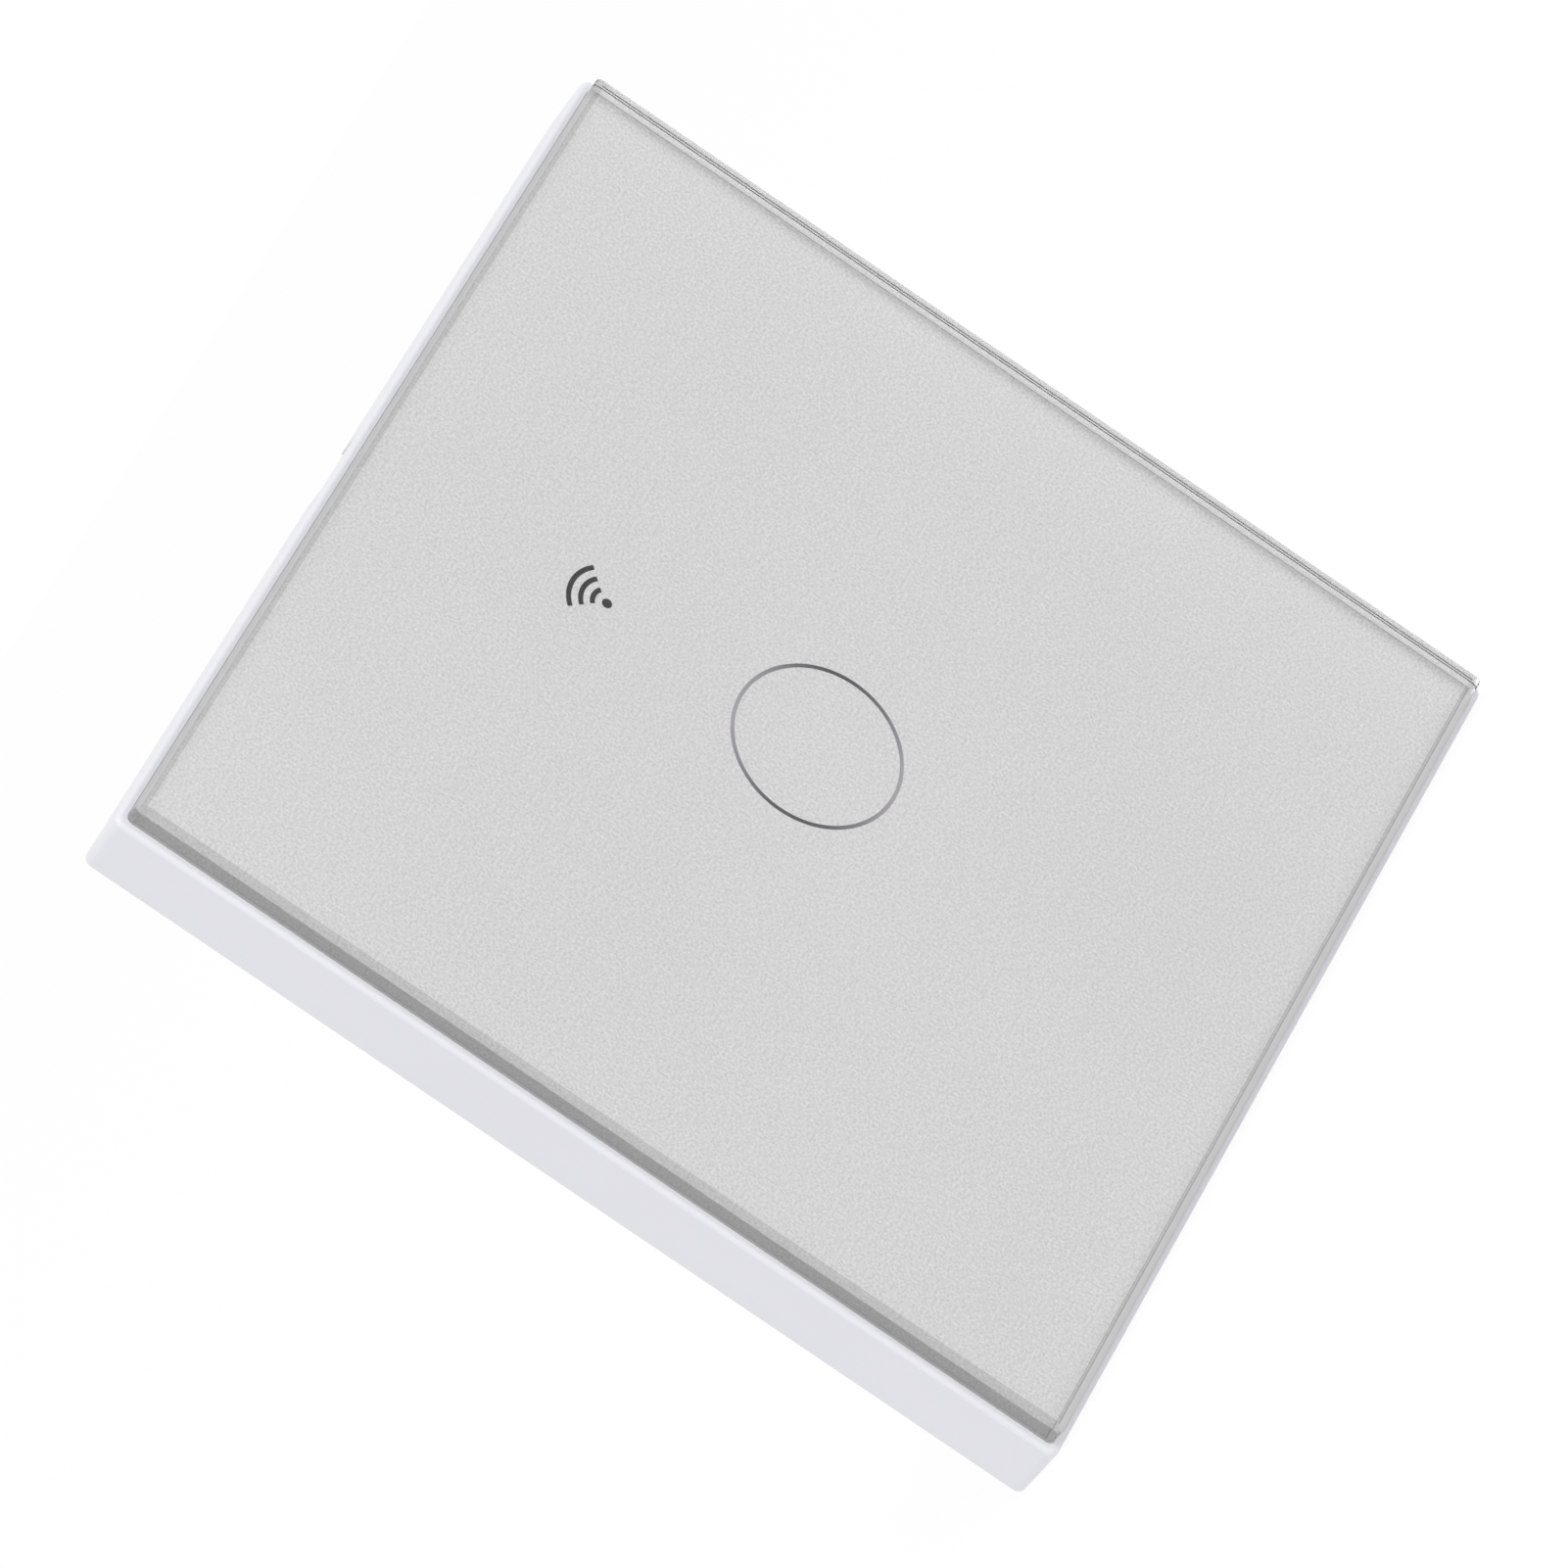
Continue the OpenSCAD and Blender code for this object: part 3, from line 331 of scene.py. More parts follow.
paints = {
    "tape": plastic("tapeFoam", (0.05, 0.05, 0.055), (0.035, 0.035, 0.04), 0.7, 1800.0, 0.05, 0.5),
    "frame": plastic("frameWhite", (0.85, 0.856, 0.90), (0.825, 0.83, 0.875), 0.32, 1800.0, 0.02, 0.06),
    "housing": plastic("housingWhite", (0.80, 0.80, 0.81), (0.75, 0.75, 0.765), 0.45, 1300.0, 0.03, 0.3),
    "cover": plastic("coverWhite", (0.78, 0.78, 0.755), (0.73, 0.73, 0.71), 0.45, 1300.0, 0.03, 0.3),
    "black": plastic("blackPlastic", (0.016, 0.016, 0.018), (0.028, 0.028, 0.03), 0.42, 1500.0),
    "relayBlue": plastic("relayBlue", (0.03, 0.09, 0.33), (0.022, 0.07, 0.27), 0.3, 1500.0, 0.02, 0.12),
    "bobbin": plastic("bobbinIvory", (0.72, 0.69, 0.60), (0.66, 0.63, 0.54), 0.4),
    "boxYellow": plastic("boxYellow", (0.76, 0.47, 0.04), (0.70, 0.42, 0.03), 0.4, 1300.0, 0.03, 0.25),
    "discBlue": plastic("discBlue", (0.05, 0.16, 0.46), (0.035, 0.12, 0.38), 0.28, 420.0, 0.05, 0.3),
    "ferrite": plastic("ferrite", (0.045, 0.045, 0.048), (0.07, 0.068, 0.068), 0.6, 2200.0, 0.05, 0.5),
    "tapeYellow": plastic("tapeYellow", (0.78, 0.60, 0.06), (0.70, 0.52, 0.04), 0.25, 500.0, 0.02, 0.2),
    "terminal": plastic("terminalGreen", (0.05, 0.24, 0.11), (0.035, 0.19, 0.085), 0.4, 1300.0, 0.03, 0.25),
    "ceramic": plastic("chipCeramic", (0.35, 0.25, 0.16), (0.28, 0.20, 0.13), 0.5, 2500.0),
    "lampBody": plastic("lampBody", (0.80, 0.80, 0.78), (0.74, 0.74, 0.72), 0.45, 2500.0),
    "lampGel": plastic("lampGel", (0.83, 0.66, 0.10), (0.76, 0.58, 0.07), 0.2, 2500.0, 0.01, 0.1),
    "silk": plastic("silkWhite", (0.78, 0.78, 0.76), (0.70, 0.70, 0.68), 0.6, 2500.0),
    "track": plastic("trackGreen", (0.03, 0.17, 0.075), (0.024, 0.145, 0.062), 0.3, 1500.0, 0.02, 0.1),
    "zinc": metal("zincSteel", (0.70, 0.71, 0.73), (0.62, 0.63, 0.66), 0.26),
    "spring": metal("springSteel", (0.78, 0.76, 0.70), (0.70, 0.68, 0.62), 0.2),
    "tin": metal("shieldTin", (0.76, 0.76, 0.75), (0.69, 0.69, 0.68), 0.24, (0.06, 1, 1), 1500.0),
    "solder": metal("solder", (0.70, 0.71, 0.72), (0.60, 0.61, 0.62), 0.22, (1, 1, 1), 1500.0),
    "gold": metal("goldPin", (0.86, 0.64, 0.25), (0.80, 0.57, 0.20), 0.2),
    "copper": metal("enamelCopper", (0.72, 0.30, 0.12), (0.62, 0.24, 0.09), 0.22, (1, 1, 1), 1500.0),
    "iron": metal("softIron", (0.58, 0.58, 0.58), (0.50, 0.50, 0.51), 0.34, (1, 0.1, 1)),
    "contact": metal("contactAlloy", (0.80, 0.60, 0.34), (0.73, 0.53, 0.29), 0.24),
    "cage": metal("cageSteel", (0.66, 0.63, 0.55), (0.58, 0.55, 0.47), 0.28, (0.1, 1, 1)),
    "can": metal("canAluminium", (0.80, 0.80, 0.81), (0.73, 0.73, 0.74), 0.26),
    "board": boardMask(),
    "guide": lightPlastic(),
    "fuseGlass": fuseGlass(),
}
print("materials")


# helpers for modelling by operator

def at(x, y, z):
    # plan millimetres (right, up the wall, out of the wall) as a place in the frame
    return Vector((x, -z, y)) * mm


def room(node):
    # the corners of a CAD node's box, and its middle
    low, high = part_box(node)
    return low, high, (low + high) / 2


def deselect():
    bpy.ops.object.select_all(action="DESELECT")


def taken(*pieces):
    # these objects selected, the first one active
    deselect()
    for piece in pieces:
        piece.select_set(True)
    bpy.context.view_layer.objects.active = pieces[0]
    return pieces[0]


def settled():
    bpy.ops.object.transform_apply(location=True, rotation=True, scale=True)
    return bpy.context.object


def smoothed(angle=40):
    bpy.ops.object.shade_smooth_by_angle(angle=math.radians(angle))
    return bpy.context.object


def paintIt(piece, material):
    piece.data.materials.clear()
    piece.data.materials.append(material)
    return piece


def slab(low, high):
    # a block between two corners
    deselect()
    low, high = Vector(low), Vector(high)
    bpy.ops.mesh.primitive_cube_add(size=1, location=(low + high) / 2)
    bpy.context.object.scale = [abs(side) for side in high - low]
    return settled()


def pick(kind, test):
    # in edit mode: select the edges or faces that pass a test
    bpy.ops.mesh.select_mode(type=kind)
    bpy.ops.mesh.select_all(action="DESELECT")
    bpy.ops.object.mode_set(mode="OBJECT")
    mesh = bpy.context.object.data
    for item in mesh.edges if kind == "EDGE" else mesh.polygons:
        item.select = test(mesh, item)
    bpy.ops.object.mode_set(mode="EDIT")


edgeRounds = dict(segments=2, sharp=32, smooth=38, lead=100)


def edged(width):
    # small rounds along the active piece's sharp edges
    piece = bpy.context.object
    rounds = piece.modifiers.new("rounds", "BEVEL")
    rounds.width = width
    rounds.segments = edgeRounds["segments"]
    rounds.limit_method = "ANGLE"
    rounds.angle_limit = math.radians(edgeRounds["sharp"])
    rounds.use_clamp_overlap = False
    bpy.ops.object.modifier_apply(modifier=rounds.name)
    smoothed(edgeRounds["smooth"])
    # the large faces lead the shading, so that they stay flat
    lead = piece.modifiers.new("lead", "WEIGHTED_NORMAL")
    lead.weight = edgeRounds["lead"]
    lead.keep_sharp = True
    bpy.ops.object.modifier_apply(modifier=lead.name)
    return piece


def turned(place, rings, steps=32, axis="Y"):
    # lathe work: a circle drawn out ring by ring, each (radius, distance along the axis) in mm
    deselect()
    way = {"Y": Vector((0, 1, 0)), "Z": Vector((0, 0, 1))}[axis]
    lie = {"Y": (math.radians(90), 0, 0), "Z": (0, 0, 0)}[axis]
    place = Vector(place)
    radius, along = rings[0]
    bpy.ops.mesh.primitive_circle_add(vertices=steps, radius=radius * mm, fill_type="NGON",
                                      location=place + way * along * mm, rotation=lie)
    settled()
    bpy.ops.object.mode_set(mode="EDIT")
    bpy.ops.mesh.select_mode(type="EDGE")
    bpy.ops.mesh.select_all(action="SELECT")
    for nextRadius, nextAlong in rings[1:]:
        bpy.ops.mesh.extrude_edges_move()
        bpy.ops.transform.translate(value=way * (nextAlong - along) * mm)
        grow = nextRadius / radius
        bpy.ops.transform.resize(value=[1 if part else grow for part in way],
                                 center_override=place + way * nextAlong * mm)
        radius, along = nextRadius, nextAlong
    bpy.ops.mesh.edge_face_add()
    bpy.ops.mesh.select_all(action="SELECT")
    bpy.ops.mesh.normals_make_consistent(inside=False)
    bpy.ops.object.mode_set(mode="OBJECT")
    return smoothed()


def fromEnd(rings, end):
    # rings for turned, measured back from an end
    return tuple((radius, end - back) for radius, back in rings)


def wire(points, thick, sides=8, flat=None):
    # a round wire through the points; flat squashes it along Y to that share of its thickness
    deselect()
    line = bpy.data.curves.new("wire", "CURVE")
    line.dimensions = "3D"
    line.bevel_depth = thick / 2
    line.bevel_resolution = (sides - 4) // 2
    line.use_fill_caps = True
    run = line.splines.new("POLY")
    run.points.add(len(points) - 1)
    for point, spot in zip(run.points, points):
        point.co = (*spot, 1)
    piece = bpy.data.objects.new("wire", line)
    bpy.context.scene.collection.objects.link(piece)
    taken(piece)
    bpy.ops.object.convert(target="MESH")
    if flat:
        bpy.ops.object.mode_set(mode="EDIT")
        bpy.ops.mesh.select_all(action="SELECT")
        bpy.ops.transform.resize(value=(1, flat, 1), center_override=points[0])
        bpy.ops.object.mode_set(mode="OBJECT")
    return smoothed(50)


def helix(centre, radius, start, end, turns, steps=28):
    # points of a winding round an axis along Y
    count = int(turns * steps)
    spots = []
    for k in range(count + 1):
        a = math.tau * turns * k / count
        y = start + (end - start) * k / count
        spots.append((centre.x + radius * math.cos(a), y, centre.z + radius * math.sin(a)))
    return spots


def carve(piece, *cutters):
    # take the cutters out of a piece
    for cutter in cutters:
        taken(piece)
        cut = piece.modifiers.new("cut", "BOOLEAN")
        cut.object = cutter
        cut.operation = "DIFFERENCE"
        cut.solver = "EXACT"
        bpy.ops.object.modifier_apply(modifier=cut.name)
        bpy.data.objects.remove(cutter)
    return taken(piece)


def joined(*pieces):
    taken(*pieces)
    bpy.ops.object.join()
    return bpy.context.object


def repeated(piece, moves):
    # copies of a piece, each with its own mesh, joined with it
    made = [piece]
    for move in moves:
        twin = piece.copy()
        twin.data = piece.data.copy()
        bpy.context.scene.collection.objects.link(twin)
        twin.location = move
        made.append(twin)
    return joined(*made)


def finished(name, body, material=None, stands=()):
    # the active object becomes a piece at the origin, riding on a body
    piece = settled()
    piece.name = name
    piece.data.name = name
    if material:
        paintIt(piece, material)
    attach(piece, body)
    if stands:
        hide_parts(*stands)
    deselect()
    return piece


cadMesh = dict(doubles=0.002 * mm, flat=0.5)


def refined(node, width, body, material, fitting=None):
    # a CAD node's shape with its sharp edges rounded, after any fitting in edit mode
    piece = bpy.data.objects.new(node + "_edged", nodes[node].data.copy())
    bpy.context.scene.collection.objects.link(piece)
    taken(piece)
    bpy.ops.object.mode_set(mode="EDIT")
    bpy.ops.mesh.select_all(action="SELECT")
    bpy.ops.mesh.remove_doubles(threshold=cadMesh["doubles"])
    bpy.ops.mesh.dissolve_limited(angle_limit=math.radians(cadMesh["flat"]))
    if fitting:
        fitting()
    bpy.ops.object.mode_set(mode="OBJECT")
    edged(width * mm)
    return finished(node + "_edged", body, material, (node,))


# the print, the ring and the mark behind the glass

glassLow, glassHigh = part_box("glass_panel")
glassBack = glassHigh.y
glassHalf = glassHigh.x

# the painted shade line round the print lies shadeLineIn in from the glass edge
printSheet = dict(inset=0.06 * mm, shadeLineIn=0.66 * mm, sink=0.02 * mm, thick=0.04 * mm, ink=0.005 * mm,
                  cornerR=0.5 * mm, cornerSteps=8)
reach = glassHalf - printSheet["inset"]
front = glassBack - printSheet["sink"]


def throughSheet(mesh, edge):
    one, two = (mesh.vertices[k].co.y for k in edge.vertices)
    return abs(one - two) > printSheet["thick"] / 2


slab((-reach, front, -reach), (reach, front + printSheet["thick"], reach))
bpy.ops.object.mode_set(mode="EDIT")
pick("EDGE", throughSheet)
bpy.ops.mesh.bevel(offset=printSheet["cornerR"], segments=printSheet["cornerSteps"])
bpy.ops.object.mode_set(mode="OBJECT")
finished("silver_print", "panel", silverPrint(glassHalf - printSheet["shadeLineIn"]))


def flatBand(radius, width, centre, half=180.0, steps=128):
    # a flat band of a circle, up to half degrees either side of straight up
    deselect()
    inner = radius - width / 2
    bpy.ops.mesh.primitive_circle_add(vertices=steps, radius=inner, location=centre,
                                      rotation=(math.radians(90), 0, 0))
    settled()
    bpy.ops.object.mode_set(mode="EDIT")
    bpy.ops.mesh.select_all(action="SELECT")
    bpy.ops.mesh.extrude_edges_move()
    grow = (radius + width / 2) / inner
    bpy.ops.transform.resize(value=(grow, 1, grow), center_override=centre)
    if half < 180:
        limit = math.cos(math.radians(half))
        pick("FACE", lambda mesh, face: (face.center - Vector(centre)).normalized().z < limit)
        bpy.ops.mesh.delete(type="FACE")
    # the ink's own thickness, away from the viewer
    bpy.ops.mesh.select_all(action="SELECT")
    bpy.ops.mesh.extrude_region_move(TRANSFORM_OT_translate={"value": (0, printSheet["ink"], 0)})
    bpy.ops.mesh.select_all(action="SELECT")
    bpy.ops.mesh.normals_make_consistent(inside=False)
    bpy.ops.object.mode_set(mode="OBJECT")
    return bpy.context.object


ringLine = dict(radius=7.12 * mm, width=0.34 * mm, sink=0.03 * mm, up=0.27 * mm)
flatBand(ringLine["radius"], ringLine["width"], (0, glassBack - ringLine["sink"], ringLine["up"]))
finished("ring_line", "panel", ringInk(ringLine["radius"], ringLine["up"]))

# a generic wireless mark: a dot with three arcs over it, each (radius in mm, degrees either side)
waveMark = dict(dotUp=19.9 * mm, dotRadius=0.43 * mm, dotFill=0.999, dotSteps=48, width=0.43 * mm,
                sink=0.03 * mm, arcs=((1.22, 39.5), (2.2, 42.5), (3.2, 44.0)), arcSteps=240)
spot = Vector((0, glassBack - waveMark["sink"], waveMark["dotUp"]))
marks = []
for radius, half in waveMark["arcs"]:
    marks.append(flatBand(radius * mm, waveMark["width"], spot, half, waveMark["arcSteps"]))
# the dot is a band that reaches its own middle
marks.append(flatBand(waveMark["dotRadius"] / 2, waveMark["dotRadius"] * waveMark["dotFill"], spot,
                      steps=waveMark["dotSteps"]))
joined(*marks)
finished("wireless_mark", "panel", markInk())
print("print, ring and mark")


# touch board: tracks, pads, chips, lamps, spring and screws

boardTop = -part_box("touch_board")[0].y / mm

boardPrint = dict(track=0.45, trackSides=8, trackFlat=0.12, silk=0.2, silkSides=6, silkFlat=0.1, lift=0.01)


def onBoard(run):
    return [at(x, y, boardTop + boardPrint["lift"]) for x, y in run]


def track(run):
    return wire(onBoard(run), boardPrint["track"] * mm, boardPrint["trackSides"], boardPrint["trackFlat"])


def legend(run):
    return wire(onBoard(run), boardPrint["silk"] * mm, boardPrint["silkSides"], boardPrint["silkFlat"])


def onCircle(radius, angle):
    return radius * math.cos(angle), radius * math.sin(angle)


# tracks in plan mm: five from the header pins, the rest between the chips, and four arcs round the spring
header = dict(pins=5, pitch=2.54, up=-16.5)
pins = [((k - header["pins"] // 2) * header["pitch"], header["up"]) for k in range(header["pins"])]
runs = (
    (pins[0], (-5.08, -13.6), (-11.4, -8.2), (-11.4, -4.2), (-12.2, -3.4)),
    (pins[1], (-2.54, -12.8), (-10.2, -6.4), (-10.2, -2.2), (-12.2, -0.6)),
    (pins[2], (0, -12.2), (-9.0, -5.2), (-9.6, 1.2), (-12.2, 2.6)),
    (pins[3], (2.54, -13.4), (11.0, -7.6), (12.6, -6.4)),
    (pins[4], (7.4, -15.2), (20.4, -9.4), (21.4, -8.0), (21.4, 1.4), (17.6, 2.6)),
    ((12.6, -1.6), (12.6, -0.2), (11.6, 1.4), (11.6, 2.6)),
    ((13.9, -1.6), (13.9, 0.6), (14.0, 2.6)),
    ((16.4, -1.6), (17.4, 0.2), (16.8, 2.6)),
    ((16.4, -6.4), (18.6, -7.4), (22.6, -5.0), (22.6, 14.5), (18.0, 20.5), (1.0, 21.4)),
    ((-12.2, 4.2), (-10.6, 5.6), (-6.0, 13.6), (-1.0, 20.6)),
    ((11.6, -4.0), (9.6, -3.0), (5.2, -1.0)),
    ((-20.5, 5.6), (-20.5, 15.5), (-15.0, 21.0), (-3.0, 22.4)),
    ((-6.5, -12.4), (-6.5, -14.6), (-7.8, -19.5), (12.0, -19.5), (19.5, -15.5), (23.0, -12.0)),
)
arcTrack = dict(radius=9.4, step=0.12, points=11)
quarters = [math.radians(angle) for angle in (45, 135, 225, 315)]
made = [track(run) for run in runs]
for start in quarters:
    angles = [start + k * arcTrack["step"] for k in range(arcTrack["points"])]
    made.append(track([onCircle(arcTrack["radius"], angle) for angle in angles]))
joined(*made)
finished("board_tracks", "base", paints["track"])

# plated pads: one under the spring, one round every via
springPad = dict(rings=((5.3, 0.0), (5.3, -0.03), (5.2, -0.04)), steps=64)
viaPad = dict(rings=((0.45, 0.0), (0.45, -0.03), (0.36, -0.05), (0.18, -0.05), (0.16, 0.02)), steps=20)
vias = ((-11.4, -8.2), (-10.2, -2.2), (21.4, -8.0), (22.6, 14.5), (-20.5, 15.5), (9.6, -3.0), (-6.0, 13.6),
        (19.5, -15.5), (-7.8, -19.5), (18.0, 20.5), (17.4, 0.2), (-15.0, 21.0), (11.0, -7.6), (-9.0, -5.2))
made = [turned(at(0, 0, boardTop), springPad["rings"], springPad["steps"])]
made += [turned(at(x, y, boardTop), viaPad["rings"], viaPad["steps"]) for x, y in vias]
joined(*made)
finished("board_pads", "base", paints["gold"])


def outline(x0, x1, y0, y1):
    return legend(((x0, y0), (x1, y0), (x1, y1), (x0, y1), (x0, y0 - boardPrint["silk"] / 2)))


# legend: plain outlines of shield, touch chip, header, mark lamp and chips, and a circle round the spring
outlines = ((-24.2, -11.6, -6.2, 6.2), (11.4, 17.6, -7.3, -0.7), (-7.2, 7.2, -18.6, -14.4),
            (-3.4, 3.4, 18.4, 24.3), (11.2, 18.2, 1.7, 7.3))
silkRing = dict(radius=9.9, steps=72)
made = [outline(*sides) for sides in outlines]
angles = [math.tau * k / silkRing["steps"] for k in range(silkRing["steps"] + 1)]
made.append(legend([onCircle(silkRing["radius"], angle) for angle in angles]))
joined(*made)
finished("board_legend", "base", paints["silk"])

# solder cones on the header pins
solderCone = dict(rings=((0.9, 0.02), (0.88, -0.04), (0.66, -0.12), (0.5, -0.3), (0.44, -0.55),
                         (0.3, -0.62)), steps=24)
cone = turned(at(*pins[0], boardTop), solderCone["rings"], solderCone["steps"])
repeated(cone, [at(x - pins[0][0], 0, 0) for x, y in pins[1:]])
finished("solder_cones", "base", paints["solder"])

# heights of a chip's body and ends, and of a lamp's, are shares of the whole height
chipSize = dict(length=1.6, width=0.8, height=0.6, cap=0.32, shy=0.02, foot=0.03, chipHigh=(0.96, 1.0),
                lampHigh=(0.7, 0.5), gelLong=0.8, gelWide=0.75, gelSink=0.05, rounds=0.05 * mm)


def capped(x, y, upright, bodyPaint, gelPaint=None):
    # a small chip with tinned ends; a lamp has a gel window on top
    long, wide, tall = chipSize["length"] / 2, chipSize["width"] / 2, chipSize["height"]
    inner, shy = long - chipSize["cap"], chipSize["shy"]
    top, capTop = (boardTop + tall * share for share in chipSize["lampHigh" if gelPaint else "chipHigh"])
    blocks = [(-inner - shy, inner + shy, wide - shy, boardTop + chipSize["foot"], top, bodyPaint)]
    for x0, x1 in ((-long, -inner), (inner, long)):
        blocks.append((x0, x1, wide, boardTop, capTop, paints["solder"]))
    if gelPaint:
        gel = inner * chipSize["gelLong"]
        blocks.append((-gel, gel, wide * chipSize["gelWide"], top - chipSize["gelSink"],
                       boardTop + tall, gelPaint))
    bits = []
    for x0, x1, half, z0, z1, coat in blocks:
        spanX, spanY = ((-half, half), (x0, x1)) if upright else ((x0, x1), (-half, half))
        slab(at(x + spanX[0], y + spanY[0], z1), at(x + spanX[1], y + spanY[1], z0))
        bits.append(paintIt(edged(chipSize["rounds"]), coat))
    return joined(*bits)


chipGrid = dict(x=12.4, y=2.6, stepX=2.2, stepY=1.9, count=3)
chipPair = ((-6.5, -11.5), (6.5, -11.5))
made = []
for i in range(chipGrid["count"]):
    for j in range(chipGrid["count"]):
        made.append(capped(chipGrid["x"] + chipGrid["stepX"] * i, chipGrid["y"] + chipGrid["stepY"] * j,
                           False, paints["ceramic"]))
made += [capped(x, y, True, paints["ceramic"]) for x, y in chipPair]
joined(*made)
finished("chip_row", "base", None, ("small_chips",))

boardLamps = dict(markUp=21.4, ringRadius=7.15)
capped(0, boardLamps["markUp"], False, paints["lampBody"], paints["lampGel"])
finished("mark_lamp", "base", None, ("mark_light",))
made = []
for turn in quarters:
    one = capped(boardLamps["ringRadius"], 0, True, paints["lampBody"], paints["lampGel"])
    one.matrix_world = Matrix.Rotation(-turn, 4, "Y") @ one.matrix_world
    made.append(one)
joined(*made)
finished("ring_lamps", "base", None, ("ring_lights",))

# the touch spring: round wire wound on a cone
springLow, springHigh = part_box("touch_spring")
spring = dict(wire=0.5 * mm, turns=3.5, topRadius=1.6 * mm, steps=36, sides=12)
wide = springHigh.x - spring["wire"] / 2
count = int(spring["turns"] * spring["steps"])
points = []
for k in range(count + 1):
    u = k / count
    x, z = onCircle(wide + (spring["topRadius"] - wide) * u, math.tau * spring["turns"] * u)
    y = springHigh.y - spring["wire"] / 2 + (springLow.y - springHigh.y + spring["wire"]) * u
    points.append((x, y, z))
wire(points, spring["wire"], spring["sides"])
finished("wound_touch_spring", "base", paints["spring"], ("touch_spring",))


def crossCutters(place, width, length, depth):
    # two bars for a cross recess, the depth going along +Y from the place
    bars = []
    for wideX, wideZ in ((length, width), (width, length)):
        bars.append(slab(place + Vector((-wideX, -2 * depth, -wideZ)) * (mm / 2),
                         place + Vector((wideX, 2 * depth, wideZ)) * (mm / 2)))
    return bars


# pan head screws of the touch board; a cross is its width, length and depth
panHead = dict(places=((17.5, 12), (-17.5, 12), (17.5, -12), (-17.5, -12)), shank=0.9, tip=0.3, tipLong=0.4,
               head=((1.0, 0.0), (1.35, 0.08), (1.62, 0.25), (1.76, 0.5), (1.8, 0.75), (1.8, 1.1),
                     (1.72, 1.2)), cross=(0.42, 1.9, 0.6), steps=40)
low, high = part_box("board_screws")
end = (high.y - low.y) / mm
headEnd = panHead["head"][-1][1]
x, y = panHead["places"][0]
place = Vector((x * mm, low.y, y * mm))
shank = ((panHead["shank"], headEnd), (panHead["shank"], end - panHead["tipLong"]), (panHead["tip"], end))
screw = turned(place, panHead["head"] + shank, panHead["steps"])
screw = carve(screw, *crossCutters(place, *panHead["cross"]))
repeated(screw, [Vector((px - x, 0, py - y)) * mm for px, py in panHead["places"][1:]])
smoothed()
finished("board_screw_set", "base", paints["zinc"], ("board_screws",))

# countersunk screws of the inner cover
sunkHead = dict(headR=1.85, head=((1.7, 0.0), (1.85, 0.05), (1.85, 0.12)), coneEnd=1.05, shank=1.0, tip=0.25,
                tipLong=0.4, cross=(0.45, 2.0, 0.6), steps=40)
low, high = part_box("cover_screws")
end = (high.y - low.y) / mm
reachOut = high.x / mm - sunkHead["headR"]
place = Vector((reachOut * mm, low.y, reachOut * mm))
shank = ((sunkHead["shank"], sunkHead["coneEnd"]), (sunkHead["shank"], end - sunkHead["tipLong"]),
         (sunkHead["tip"], end))
screw = turned(place, sunkHead["head"] + shank, sunkHead["steps"])
screw = carve(screw, *crossCutters(place, *sunkHead["cross"]))
repeated(screw, [Vector((dx, 0, dz)) * (2 * reachOut * mm) for dx, dz in ((-1, 0), (0, -1), (-1, -1))])
smoothed()
finished("cover_screw_set", "base", paints["zinc"], ("cover_screws",))
print("touch board")


# power board: windings, capacitors, fuse and terminals

coilSet = dict(pitch=1.03, sides=6, sunk=0.2, coreSteps=48)


def closeTurns(node, thick, hole, inset=0.0):
    # close turns of copper on a plain copper core, filling a CAD winding's space less an inset
    low, high, centre = room(node)
    radius = (high.x - low.x) / 2 - inset - thick / 2
    turns = math.floor((high.y - low.y - thick) / (thick * coilSet["pitch"]))
    coil = wire(helix(centre, radius, low.y + thick / 2, high.y - thick / 2, turns), thick, coilSet["sides"])
    inside = (radius - thick * coilSet["sunk"]) / mm
    end = (high.y - low.y) / mm
    core = turned((centre.x, low.y, centre.z), ((hole, 0.0), (inside, 0.0), (inside, end), (hole, end)),
                  coilSet["coreSteps"])
    return joined(paintIt(coil, paints["copper"]), paintIt(core, paints["copper"]))


relayCoil = dict(wire=0.24 * mm, hole=2.42)
closeTurns("relay_coil", relayCoil["wire"], relayCoil["hole"])
finished("wound_relay_coil", "base", None, ("relay_coil",))

# transformer: copper turns with a belt of tape round their middle, its edge (depth, distance in) in mm
belt = dict(share=0.62, thick=0.12 * mm, edge=((0.14, 0.0), (0.02, 0.03), (0.0, 0.12)), steps=64)
transformer = dict(wire=0.3 * mm, hole=2.32)
low, high, centre = room("transformer_coil")
coil = closeTurns("transformer_coil", transformer["wire"], transformer["hole"], belt["thick"])
outside = (high.x - low.x) / 2 / mm
length = (high.y - low.y) / mm
start = length * (1 - belt["share"]) / 2
edge = tuple((outside - down, start + along) for down, along in belt["edge"])
tape = turned((centre.x, low.y, centre.z), edge + fromEnd(edge[::-1], length), belt["steps"])
joined(coil, paintIt(tape, paints["tapeYellow"]))
finished("wound_transformer", "base", None, ("transformer_coil",))

